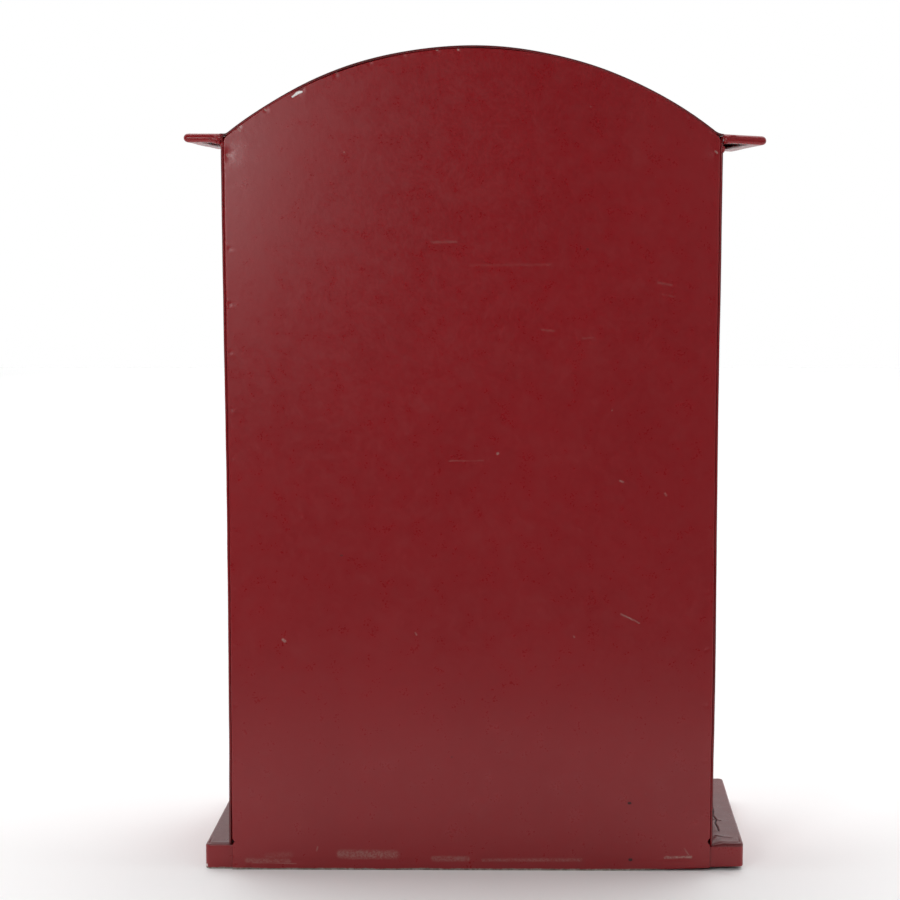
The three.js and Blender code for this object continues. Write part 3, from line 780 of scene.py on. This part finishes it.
# -------------------------------------------------------------------- roof
def half_section(side):
    """Outer surface of the roof from the crown to the eave's return: (x from body centre, z, tag)."""
    tip = (TIP_P - BX) if side > 0 else (BX - TIP_N)
    top = Z_EAVE_P if side > 0 else Z_EAVE_N
    rf, rc = (4.0 if side > 0 else 9.0), R_ROOF - T / 2
    hz = top - T / 2 + rf - Z_ARC
    xf = math.sqrt((rc + rf) ** 2 - hz ** 2)
    tan = math.atan2(hz, xf)
    root, cx, zc = BODY_HW + 0.3, tip - LIP_R, top - LIP_R
    pts = []
    n = 62
    for i in range(n + 1):
        a = math.pi / 2 + (tan - math.pi / 2) * i / n
        pts.append((R_ROOF * math.cos(a), Z_ARC + R_ROOF * math.sin(a), "A"))
    r = rf - T / 2
    for i in range(1, 8):
        a = -math.pi + tan + (math.pi / 2 - tan) * i / 7
        pts.append((xf + r * math.cos(a), top - T / 2 + rf + r * math.sin(a), "A"))
    pts = [p for p in pts if p[0] < root - 0.2]
    pts.append((root, top, "A"))
    m = 10
    for i in range(1, m + 1):
        pts.append((root + (cx - root) * i / m, top, "E"))
    for i in range(1, 13):
        a = math.pi / 2 - math.pi * i / 12
        pts.append((cx + LIP_R * math.cos(a), zc + LIP_R * math.sin(a), "B"))
    for i in range(1, 5):
        pts.append((cx - 6.0 * i / 4, zc - LIP_R, "R"))
    return pts, root, cx, zc, top


def arch_fit(x):
    """the arch isn't a true circle: a little fuller left and right of the crown, flatter at the shoulders"""
    return 0.32 * gauss(x - 62, 26) + 0.26 * gauss(x + 8, 30) - 0.36 * gauss(x - 104, 15) - 0.25 * gauss(x + 88, 22) \
        - 0.30 * gauss(x + 42, 18) * 0.5


def roof_warp(x, y, z, side, root, cx):
    """x from the body centre, signed"""
    ax = abs(x)
    zz = z
    if side < 0 and ax > root:
        zz -= DROOP_N * (ax - root) / (cx - root)
    w = smooth(0, 12, ax - root)
    zz += 0.22 * wob(y, ax, 46, 21 + side) * w
    if ax < root:
        k = arch_fit(x)
        n = math.hypot(x, z - Z_ARC)
        zz += k * (z - Z_ARC) / n + 0.08 * wob(x, y, 40, 8) * (1 - smooth(50, 64, abs(y)))
    xx = x + math.copysign(1, x) * 0.25 * wob(y, 3.0, 38, 25 + side) * w
    if y > 58 and ax > root - 0.1:
        t = smooth(root + 6.5, root - 0.5, ax)
        if side > 0:
            zz -= 1.5 * t * smooth(60, 64.5, y) * smooth(388.8, 386.0, z)
        else:
            zz -= 0.5 * t * smooth(60, 64.5, y) * smooth(388.8, 386.0, z)
    return BX + xx, zz


RV, RF = [], []


def strip(rows):
    """rows: list of equal-length lists of points; adds a grid."""
    k = len(RV)
    n = len(rows[0])
    for r in rows:
        RV.extend(r)
    RF.extend(grid_faces(len(rows), n, k))


ye = Y_BACK - LIP_R
ymain = [-ye + 2 * ye * i / 34 for i in range(35)]
for side in (1, -1):
    pts, root, cx, zc, top = half_section(side)

    def P3(x, y, z, side=side, root=root, cx=cx):
        X, Z = roof_warp(side * x, y, z, side, root, cx)
        return (X, y, Z)
    strip([[P3(x, y, z) for x, z, t in pts] for y in ymain])
    arch = [(x, z) for x, z, t in pts if t == "A"]
    for ext in ([ye, ye + 0.8, ye + 1.6, Y_BACK], [-ye, -ye - 0.8, -ye - 1.6, -Y_BACK]):
        strip([[P3(x, y, z) for x, z in arch] for y in ext])
    eave = [(x, z) for x, z, t in pts if t == "E"]
    eave = [(root, top)] + eave
    for s in (1, -1):
        rows = []
        for i in range(13):
            a = math.pi / 2 - math.pi * i / 12
            rows.append([P3(x, s * (ye + LIP_R * math.cos(a)), zc + LIP_R * math.sin(a)) for x, z in eave])
        strip(rows)
        # corner: part of a ball
        rows = []
        for j in range(9):
            b = math.pi / 2 * j / 8
            rows.append([P3(cx + LIP_R * math.cos(math.pi / 2 - math.pi * i / 12) * math.cos(b),
                            s * (ye + LIP_R * math.cos(math.pi / 2 - math.pi * i / 12) * math.sin(b)),
                            zc + LIP_R * math.sin(math.pi / 2 - math.pi * i / 12)) for i in range(13)])
        strip(rows)
        xr = [root + (cx - root) * i / 10 for i in range(11)]
        xr = [x for x in xr if x < cx - 6.05] + [cx - 6.0]
        strip([[P3(x, s * (ye - 2.5 * i / 2), zc - LIP_R) for x in xr] for i in range(3)])
ob = make("roof_sheet", RV, RF, "case", MAT_ROOF, nodes=("roof_shell",), merge=0.004)
bm = bmesh.new()
bm.from_mesh(ob.data)
bmesh.ops.recalc_face_normals(bm, faces=bm.faces)
bm.to_mesh(ob.data)
bm.free()
fix_normals(ob, lambda c: (0, 0, 1) if abs(c.x - BX) < 120 else (0, 0, 0))
s = ob.modifiers.new("sheet", "SOLIDIFY")
s.thickness = T * MM
s.offset = -1.0
s.use_even_offset = False
s.use_quality_normals = True


# weld lumps under the paint where the eaves meet the body corners
def lumps(name, items):
    parts = []
    for (cx, cy, cz), (rx, ry, rz), sd in items:
        v, f = [], []
        nu, nv = 14, 9
        for i in range(nv + 1):
            t = math.pi * i / nv
            for j in range(nu):
                a = 2 * math.pi * j / nu
                d = 1 + 0.22 * noise.noise(Vector((math.cos(a) * math.sin(t) * 1.7 + sd, math.sin(a) * math.sin(t) * 1.7, math.cos(t) * 1.7)))
                v.append((cx + rx * d * math.sin(t) * math.cos(a), cy + ry * d * math.sin(t) * math.sin(a), cz + rz * d * math.cos(t)))
        f = grid_faces(nv + 1, nu, closed=True)
        parts.append((v, f))
    v, f = join(*parts)
    return make(name, v, f, "case", MAT_ROOF, merge=0.01)


lumps("weld_left_eave", [
    ((135.4, 64.55, 386.1), (1.5, 0.62, 0.9), 1.0), ((133.1, 64.6, 385.5), (1.2, 0.7, 0.8), 2.0),
    ((131.2, 64.5, 384.5), (1.3, 0.7, 1.0), 3.0), ((129.3, 64.35, 383.4), (1.1, 0.7, 1.4), 4.0),
    ((130.4, 64.4, 387.0), (1.7, 0.6, 1.3), 9.0), ((132.6, 64.5, 387.3), (1.5, 0.55, 0.9), 10.0)])
lumps("weld_right_eave", [
    ((-131.8, 64.6, 387.2), (2.0, 0.6, 0.8), 5.0), ((-129.2, 64.5, 386.4), (1.4, 0.7, 1.1), 6.0),
    ((-127.2, 64.3, 380.9), (0.8, 0.75, 1.8), 7.0), ((-128.6, 64.4, 384.6), (1.0, 0.6, 1.0), 8.0),
    ((-128.2, 64.4, 386.9), (1.7, 0.6, 0.9), 11.0)])

# ------------------------------------------------------------------ plinth
PH = pz1
P_SKEW = -4.5
P_HALF = (px1 - px0 - abs(P_SKEW)) / 2
PY0, PY1 = py0, py1


def plinth_ring(d, r, n=7, m=26):
    """points of the plan inset by d, with straight runs subdivided"""
    x0, x1, y0, y1 = -P_HALF + d, P_HALF - d, PY0 + d, PY1 - d
    r = max(0.05, r)
    out = []
    cs = [(x1 - r, y0 + r, -90), (x1 - r, y1 - r, 0), (x0 + r, y1 - r, 90), (x0 + r, y0 + r, 180)]
    for q, (cx, cy, a0) in enumerate(cs):
        arc = [(cx + r * math.cos(math.radians(a0 + 90 * i / n)), cy + r * math.sin(math.radians(a0 + 90 * i / n))) for i in range(n + 1)]
        out += arc
        nx = cs[(q + 1) % 4]
        end = (nx[0] + r * math.cos(math.radians(nx[2])), nx[1] + r * math.sin(math.radians(nx[2])))
        mm = m if q in (1, 3) else m // 2
        for i in range(1, mm):
            out.append((arc[-1][0] + (end[0] - arc[-1][0]) * i / mm, arc[-1][1] + (end[1] - arc[-1][1]) * i / mm))
    return out


def skewed(x, y):
    return x + P_SKEW * (Y_BACK - y) / (PY1 - PY0)


def seg_dist(p, a, b):
    ax, ay = a
    bx, by = b
    t = ((p[0] - ax) * (bx - ax) + (p[1] - ay) * (by - ay)) / max(1e-9, (bx - ax) ** 2 + (by - ay) ** 2)
    t = min(1, max(0, t))
    return math.hypot(p[0] - ax - t * (bx - ax), p[1] - ay - t * (by - ay))


def plinth_place(x, y, z, d):
    X = skewed(x, y)
    rear = smooth(-30, 60, y)
    up_top = 1.35 * smooth(-127.6, -131.0, X) * rear
    up_low = lift(X) * smooth(20, 62, y)
    t = min(1, max(0, z / PH))
    Z = z + up_low * (1 - t) + up_top * t
    if z > PH - 0.05:
        Z += 0.16 * wob(X, y, 34, 31) * smooth(1, 8, d)
        for line, dep, w in ((CRACK, 0.45, 0.42), (CRACK2, 0.35, 0.4), (CRACK3, 0.30, 0.55)):
            if X < -125:
                dd = min(seg_dist((X, y), a, b) for a, b in zip(line[:-1], line[1:]))
                Z += -dep * gauss(dd, w) + 0.14 * gauss(dd - 1.1, 0.6)
        # the top plate's rear edge is a separate, badly closed fold
        if y > 55 and abs(X - BX) > 125.5:
            jag = 0.45 * wob(X, 0, 3.2, 33)
            Z += -0.75 * gauss(d - 1.95 + 0.35 * jag, 0.38) * (0.75 + jag)
            Z += 0.2 * gauss(d - 3.0, 0.8) * (1 + 1.2 * jag)
    Y = y + (0.12 * wob(X, z, 30, 35) if y > 60 else 0)
    return (X, Y, Z)


rb = 1.35
ringdef = [(0.55, 0.0, 2.0), (0.25, 0.02, 2.2), (0.06, 0.25, 2.4), (0.0, 0.8, 2.5), (0, 2.0, 2.6), (0, 4.0, 2.7), (0, 6.5, 2.7), (0, 9.0, 2.7),
           (0, PH - rb, 2.7)]
for i in range(1, 8):
    a = math.pi / 2 * i / 7
    ringdef.append((rb * (1 - math.cos(a)), PH - rb + rb * math.sin(a), 2.7 - 0.9 * i / 7))
ringdef += [(1.55, PH, 1.7), (1.75, PH, 1.6), (1.95, PH, 1.5), (2.15, PH, 1.4), (2.4, PH, 1.3), (2.8, PH, 1.2), (3.4, PH, 1.1), (4.4, PH, 1.0)]
verts, flat = [], []
for d, z, r in ringdef:
    for x, y in plinth_ring(d, r, m=70):
        flat.append((x, y))
        verts.append(plinth_place(x, y, z, d))
nr = len(flat) // len(ringdef)
faces = grid_faces(len(ringdef), nr, closed=True)
inner = flat[-nr:]
extra = []
for line in (CRACK, CRACK2, CRACK3):
    for a, b in zip(line[:-1], line[1:]):
        L = math.hypot(b[0] - a[0], b[1] - a[1])
        nx, ny = (b[1] - a[1]) / L, -(b[0] - a[0]) / L
        for i in range(int(L / 0.5) + 1):
            t = i * 0.5 / L
            for o in (-1.6, -1.1, -0.7, -0.4, -0.2, 0, 0.2, 0.4, 0.7, 1.1, 1.6):
                X, Y = a[0] + t * (b[0] - a[0]) + nx * o, a[1] + t * (b[1] - a[1]) + ny * o
                extra.append((X - P_SKEW * (Y_BACK - Y) / (PY1 - PY0), Y))
rnd = random.Random(3)
for i in range(-36, 37):
    for j in range(-16, 17):
        extra.append((i * 4.0 + rnd.uniform(-0.8, 0.8), j * 4.0 + rnd.uniform(-0.8, 0.8)))
pts = list(inner)
for x, y in extra:
    if abs(x) < P_HALF - 5.2 and PY0 + 5.2 < y < PY1 - 5.2:
        pts.append((x, y))
vs, fs, vo = cdt(pts, [list(range(nr))])
index = {}
for k, v in enumerate(vs):
    if vo[k] and vo[k][0] < nr:
        index[k] = (len(ringdef) - 1) * nr + vo[k][0]
    else:
        index[k] = len(verts)
        verts.append(plinth_place(v.x, v.y, PH, 9.0))
for f in fs:
    faces.append(tuple(index[i] for i in f))
ob = make("plinth_sheet", verts, faces, "case", MAT_PLINTH, nodes=("plinth_tray",))
bm = bmesh.new()
bm.from_mesh(ob.data)
bmesh.ops.recalc_face_normals(bm, faces=bm.faces)
bm.to_mesh(ob.data)
bm.free()
fix_normals(ob, lambda c: (0, 0, 1) if c.z > PH - 0.5 else (0, 0, 0))
s = ob.modifiers.new("sheet", "SOLIDIFY")
s.thickness = T * MM
s.offset = -1.0
s.use_even_offset = False

# ------------------------------------------------------------- front panel
def rrect(x0, x1, z0, z1, r, n=6, m=1):
    out = []
    cs = [(x1 - r, z0 + r, -90), (x1 - r, z1 - r, 0), (x0 + r, z1 - r, 90), (x0 + r, z0 + r, 180)]
    for q, (cx, cz, a0) in enumerate(cs):
        arc = [(cx + r * math.cos(math.radians(a0 + 90 * i / n)), cz + r * math.sin(math.radians(a0 + 90 * i / n))) for i in range(n + 1)]
        out += arc
        if m > 1:
            nx = cs[(q + 1) % 4]
            end = (nx[0] + r * math.cos(math.radians(nx[2])), nx[1] + r * math.sin(math.radians(nx[2])))
            for i in range(1, m):
                out.append((arc[-1][0] + (end[0] - arc[-1][0]) * i / m, arc[-1][1] + (end[1] - arc[-1][1]) * i / m))
    return out


F_DIMPLES = [(BX + s * 123.6, 350 - 33 * i) for s in (1, -1) for i in range(10)]
F_DIMPLES += [(BX + (PAN_R - 3.4) * math.cos(math.radians(a)), Z_ARC + (PAN_R - 3.4) * math.sin(math.radians(a)))
              for a in [55 + 7.7 * i for i in range(10)]]


def front_height(X, z, d):
    h = (0.12 * wob(X, z, 80, 41) + 0.05 * wob(X, z, 30, 42)) * smooth(0, 12, rim(X, z))
    for cx, cz in F_DIMPLES:
        dx, dz = X - cx, z - cz
        if abs(dx) < 5 and abs(dz) < 5:
            r = math.hypot(dx, dz)
            h += -0.25 * gauss(r, 1.3) + 0.04 * gauss(r - 2.4, 0.8)
    return h


door_hole = rrect(-104, 104, 28, 288, 5, m=14)
slot_hole = rrect(-116, 116, 326, 360, 3, m=14)
front = arched_pan("front_sheet", Y_FRONT, -1, fz0, 15.6, front_height, lambda x, z: 0.0, False,
                   [door_hole, slot_hole], [], "case", MAT_RED, "front_panel", step=1.2)

# -------------------------------------------------------------------- door
DC = (dx0 + dx1) / 2
DF = -55.0
rd = 1.9
rings = [(0.0, -46.7, 3.5), (0.0, -47.2, 3.5), (0.0, -49.5, 3.5), (0.0, DF + rd, 3.5)]
for i in range(1, 7):
    a = math.pi / 2 * i / 6
    rings.append((rd * (1 - math.cos(a)), DF + rd - rd * math.sin(a), 3.5 - 0.8 * i / 6))
rings += [(3.0, DF, 3.0), (6.0, DF, 5.0), (14.0, DF, 7.0), (24.0, DF, 8.0), (31.2, DF, 8.5)]
for i in range(1, 10):                      # pressed step up to the raised field
    t = i / 9
    rings.append((31.2 + 4.4 * t, DF - 2.5 * (t * t * (3 - 2 * t)), 8.5 - 1.5 * t))
rings += [(37.0, DF - 2.5, 6.0), (40.0, DF - 2.5, 5.0)]


def door_y(x, z, y, d):
    w = 0.14 * wob(x, z, 70, 51) + 0.05 * wob(x, z, 28, 52)
    return y - w * smooth(2.5, 12, d)


verts, flat = [], []
for d, y, r in rings:
    for x, z in rrect(dx0 + d, dx1 - d, dz0 + d, dz1 - d, r, n=8, m=30):
        flat.append((x, z))
        verts.append((x, door_y(x, z, y, d), z))
nr = len(flat) // len(rings)
faces = grid_faces(len(rings), nr, closed=True)
pts = flat[-nr:]
rnd = random.Random(4)
for i in range(-14, 15):
    for j in range(-17, 18):
        x, z = DC + i * 5.2 + rnd.uniform(-1, 1), (dz0 + dz1) / 2 + j * 5.6 + rnd.uniform(-1, 1)
        if abs(x - DC) < (dx1 - dx0) / 2 - 42.5 and abs(z - (dz0 + dz1) / 2) < (dz1 - dz0) / 2 - 42.5:
            pts.append((x, z))
vs, fs, vo = cdt(pts, [list(range(nr))])
index = {}
for k, v in enumerate(vs):
    if vo[k] and vo[k][0] < nr:
        index[k] = (len(rings) - 1) * nr + vo[k][0]
    else:
        index[k] = len(verts)
        verts.append((v.x, door_y(v.x, v.y, DF - 2.5, 45), v.y))
for f in fs:
    faces.append(tuple(index[i] for i in f))
ob = make("door_sheet", verts, faces, "door", MAT_DOOR, nodes=("door_panel",))
bm = bmesh.new()
bm.from_mesh(ob.data)
bmesh.ops.recalc_face_normals(bm, faces=bm.faces)
bm.to_mesh(ob.data)
bm.free()
fix_normals(ob, lambda c: (0, -1, 0) if c.y < DF - 2 else (0, 0, 0))
s = ob.modifiers.new("sheet", "SOLIDIFY")
s.thickness = T * MM
s.offset = -1.0
s.use_even_offset = False

# --------------------------------------------------------------- slot flap
(lx0, ly0, lz0), (lx1, ly1, lz1) = nb("slot_flap")
(ox0, oy0, oz0), (ox1, oy1, oz1) = nb("flap_rod")
ROD_Y, ROD_Z = (oy0 + oy1) / 2, (oz0 + oz1) / 2
prof = []
for i in range(23):
    a = math.radians(298 - 298 * i / 22)
    prof.append((ROD_Y + 2.6 * math.cos(a), ROD_Z + 2.6 * math.sin(a)))
for z in (362, 358, 355, 353.2, 352.2, 351.2, 350, 347, 343, 339, 336, 333.8, 332.8, 331.8, 330.5, 328, 325.5, 323.6):
    prof.append((ROD_Y + 2.6, z))
for i in range(1, 8):
    a = math.radians(-78 * i / 7)
    prof.append((ROD_Y + 0.2 + 2.4 * math.cos(a), 323.0 + 2.4 * math.sin(a)))
prof += [(-51.6, 320.3), (-53.0, 319.98), (-54.2, 319.75)]
xs = [lx0 + 0.02 + (lx1 - lx0 - 0.04) * i / 96 for i in range(97)]
verts = []
for x in xs:
    u = min(x - lx0, lx1 - x)
    for y, z in prof:
        e = smooth(351.8, 353.4, z) if z > 342 else 1 - smooth(331.6, 333.2, z)
        press = (1 - e) * smooth(11.0, 13.5, u) if 325 < z < 356 else 0.0      # long pressed field
        verts.append((x, y - 0.9 * press - 0.06 * wob(x, z, 40, 61) * (1 if z < 360 else 0), z))
faces = grid_faces(len(xs), len(prof))
ob = make("flap_sheet", verts, faces, "flap", MAT_DOOR, nodes=("slot_flap",), merge=0.001)
s = ob.modifiers.new("sheet", "SOLIDIFY")
s.thickness = 0.98 * MM
s.offset = 0.0

v, f = lathe(round_profile([(0.02, ox0), (1.8, ox0), (1.8, ox1), (0.02, ox1)], 0.35, 3), "x", (ROD_Y, ROD_Z), 32)
make("flap_rod_bar", v, f, "flap", MAT_ZINC, nodes=("flap_rod",), merge=0.03)

# ------------------------------------------- hinges, rivets, lock, brackets
for q in ("lower", "upper"):
    (a0, a1, a2), (b0, b1, b2) = nb("hinge_leaf_frame_" + q)
    hx, hy = b0 - 2.9, -49.7
    ring = lathe(round_profile([(1.65, a2), (2.9, a2), (2.9, b2), (1.65, b2)], 0.3, 3), "z", (hx, hy), 40)
    leaf = rbox(a0, hx - 1.2, -47.3, -46.3, a2, b2, 0.3, 2)
    v, f = join(ring, leaf)
    make("leaf_case_" + q, v, f, "case", MAT_RED, nodes=("hinge_leaf_frame_" + q,))
    (c0, c1, c2), (e0, e1, e2) = nb("hinge_leaf_door_" + q)
    ring = lathe(round_profile([(1.65, c2), (2.9, c2), (2.9, e2), (1.65, e2)], 0.3, 3), "z", (hx, hy), 40)
    leaf = rbox(hx + 2.3, hx + 3.3, c1, -47.2, c2, e2, 0.3, 2)
    v, f = join(ring, leaf)
    make("leaf_door_" + q, v, f, "door", MAT_RED, nodes=("hinge_leaf_door_" + q,))
    (g0, g1, g2), (h0, h1, h2) = nb("hinge_pin_" + q)
    v, f = lathe(round_profile([(0.02, g2), (2.4, g2), (2.4, g2 + 1.7), (1.3, g2 + 1.7), (1.3, h2 - 1.7), (2.4, h2 - 1.7), (2.4, h2), (0.02, h2)], 0.5, 4),
                 "z", (hx, hy), 36)
    make("pin_" + q, v, f, "case", MAT_ZINC, nodes=("hinge_pin_" + q,), merge=0.03)

for q in ("left", "right"):
    (a0, a1, a2), (b0, b1, b2) = nb("bracket_rivet_" + q)
    cx, cz = (a0 + b0) / 2, (a2 + b2) / 2
    prof = [(0.02, a1)] + [(2.5 * math.sin(math.radians(t)), a1 + 1.6 * (1 - math.cos(math.radians(t)))) for t in range(10, 91, 10)]
    prof += [(2.45, a1 + 1.62), (1.3, a1 + 1.65), (1.3, b1 - 1.1), (2.2, b1 - 1.1), (2.3, b1 - 0.9), (2.2, b1 - 0.15), (1.7, b1), (0.02, b1)]
    v, f = lathe(prof, "y", (cx, cz), 32)
    make("rivet_" + q, v, f, "case", MAT_ZINC, nodes=("bracket_rivet_" + q,), merge=0.03)

(a0, a1, a2), (b0, b1, b2) = nb("lock_housing")
LX, LZ = (a0 + b0) / 2, (a2 + b2) / 2
prof = [(6.35, a1 + 0.5), (6.6, a1 + 0.12), (7.0, a1), (7.6, a1 + 0.02), (8.8, a1 + 0.12), (9.7, a1 + 0.35), (10.25, a1 + 0.7), (10.5, a1 + 1.05), (10.45, a1 + 1.3), (8.0, a1 + 1.3)]
yy = a1 + 1.3
while yy < b1 - 1.2:                       # thread of the barrel
    prof += [(8.0, yy), (7.62, yy + 0.4), (8.0, yy + 0.8)]
    yy += 0.8
prof += [(7.9, b1 - 0.3), (7.6, b1), (6.35, b1)]
v, f = lathe(prof, "y", (LX, LZ), 56)
ob = make("lock_barrel", v, f, "door", MAT_NICKEL, nodes=("lock_housing",), merge=0.003)

for n, mt in (("lock_plug", MAT_NICKEL), ("lock_nut", MAT_ZINC), ("lock_cam", MAT_ZINC), ("lock_cam_screw", MAT_ZINC),
              ("lock_strike", MAT_IN_SHADED), ("mail_guard", MAT_IN_SHADED), ("floor_plate", MAT_IN_SHADED),
              ("flap_bracket_left", MAT_RED), ("flap_bracket_right", MAT_RED)):
    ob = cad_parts[n]
    ob.data.materials.clear() if len(ob.material_slots) == 0 else None
    if len(ob.material_slots) == 0:
        ob.data.materials.append(mt)
    for sl in ob.material_slots:
        sl.material = mt
    w = ob.modifiers.new("weld", "WELD")
    w.merge_threshold = 1e-6
    b = ob.modifiers.new("edges", "BEVEL")
    b.width = (0.12 if n in ("lock_plug", "lock_cam_screw") else 0.25) * MM
    b.segments = 2
    b.limit_method = "ANGLE"
    b.angle_limit = math.radians(35)
    b.use_clamp_overlap = True

# ------------------------------------------------------------ floor, lights
def floor_mat():
    m = Nodes("floor_pale")
    n = m.noise(0.004, 3.0, 0.5)
    col = m.mix(m.ramp(n, 0.3, 0.7), (0.93, 0.93, 0.93), (0.95, 0.95, 0.95))
    m.set(Base_Color=col, Roughness=0.9)
    m.bsdf.inputs["Specular IOR Level"].default_value = 0.1
    return m.mat


def floor_part(name, y0, y1, mat):
    me = bpy.data.meshes.new(name)
    n = 9
    V = [(-6 + 12 * i / (n - 1), y0 + (y1 - y0) * j / (n - 1), 0.0) for j in range(n) for i in range(n)]
    me.from_pydata(V, [], grid_faces(n, n))
    me.materials.append(mat)
    ob = bpy.data.objects.new(name, me)
    bpy.context.scene.collection.objects.link(ob)
    return ob


FLOOR_Y = 0.38
fmat = floor_mat()
floor_part("floor_near", -3.3, FLOOR_Y, fmat)
far = floor_part("floor_far", FLOOR_Y, 1.35, fmat)
far.visible_glossy = False                # the sweep in front of the panel ends at FLOOR_Y for reflections

# white backdrop behind and above the object, a dim room on the camera's side
world = bpy.data.worlds.new("studio")
bpy.context.scene.world = world
world.use_nodes = True
wt = world.node_tree
bg = wt.nodes["Background"]
lp = wt.nodes.new("ShaderNodeLightPath")
tc = wt.nodes.new("ShaderNodeTexCoord")
sp = wt.nodes.new("ShaderNodeSeparateXYZ")
wt.links.new(tc.outputs["Generated"], sp.inputs[0])
half = wt.nodes.new("ShaderNodeMath")              # direction y from -1..1 to 0..1
half.operation = "MULTIPLY_ADD"
half.inputs[1].default_value = 0.5
half.inputs[2].default_value = 0.5
wt.links.new(sp.outputs["Y"], half.inputs[0])
ramp = wt.nodes.new("ShaderNodeValToRGB")
el = ramp.color_ramp.elements
el[0].position, el[0].color = 0.0, (0.46, 0.46, 0.46, 1)
el[1].position, el[1].color = 0.40, (0.84, 0.84, 0.84, 1)
for pos, v in ((0.51, 0.84), (0.625, 0.02)):
    e = el.new(pos)
    e.color = (v, v, v, 1)
ramp.color_ramp.interpolation = "EASE"
wt.links.new(half.outputs[0], ramp.inputs[0])
grad = wt.nodes.new("ShaderNodeMath")
grad.operation = "MULTIPLY"
grad.inputs[1].default_value = 1.5
wt.links.new(ramp.outputs[0], grad.inputs[0])
mr = wt.nodes.new("ShaderNodeMix")
mr.data_type = "FLOAT"
wt.links.new(lp.outputs["Is Camera Ray"], mr.inputs["Factor"])
wt.links.new(grad.outputs[0], mr.inputs["A"])
mr.inputs["B"].default_value = 1.0
wt.links.new(mr.outputs["Result"], bg.inputs["Strength"])
bg.inputs["Color"].default_value = (1, 1, 1, 1)


def area(name, loc, target, size, size_y, radiance):
    """A softbox of the given radiance."""
    l = bpy.data.lights.new(name, "AREA")
    l.shape = "RECTANGLE"
    l.size = size
    l.size_y = size_y
    l.energy = radiance * size * size_y * math.pi
    o = bpy.data.objects.new(name, l)
    bpy.context.scene.collection.objects.link(o)
    o.location = loc
    d = Vector(target) - Vector(loc)
    o.rotation_euler = d.to_track_quat("-Z", "Y").to_euler()
    o.visible_camera = False
    return o


# image left is +X; the camera stands on +Y
area("soft_left", (0.3304, 0.70, 0.4278), (0.0, 0.065, 0.22), 0.20, 0.20, 10.8)
area("soft_right", (-0.5776, 0.9246, 0.825), (0.0, 0.065, 0.22), 0.84, 1.417, 0.66)
area("top", (0.0, -0.45, 2.1), (0.0, -0.2, 0.0), 2.2, 1.6, 1.3)
area("back_top", (0.0, -2.9, 2.6), (0.0, -2.9, 0.0), 5.0, 2.4, 1.2)

# ------------------------------------------------------------------ camera
cam = bpy.data.cameras.new("camera")
cam.sensor_width = 36.0
cam.lens = 2025.7 / 900 * 36
cam.clip_end = 50
co = bpy.data.objects.new("camera", cam)
bpy.context.scene.collection.objects.link(co)
R = Vector((-0.999937146, -0.0112013161, -0.000483754188))
U = Vector((0.000866592594, -0.120234331, 0.992745161))
F = Vector((0.01117822, -0.99268234, -0.12023648))
M = Matrix.Identity(4)
for i in range(3):
    M[i][0], M[i][1], M[i][2] = R[i], U[i], -F[i]
M[0][3], M[1][3], M[2][3] = 0.00083, 1.11179, 0.35277
co.matrix_world = M
bpy.context.scene.camera = co
bpy.context.scene.view_settings.view_transform = "Standard"
bpy.context.scene.view_settings.look = "None"

bpy.context.view_layer.update()
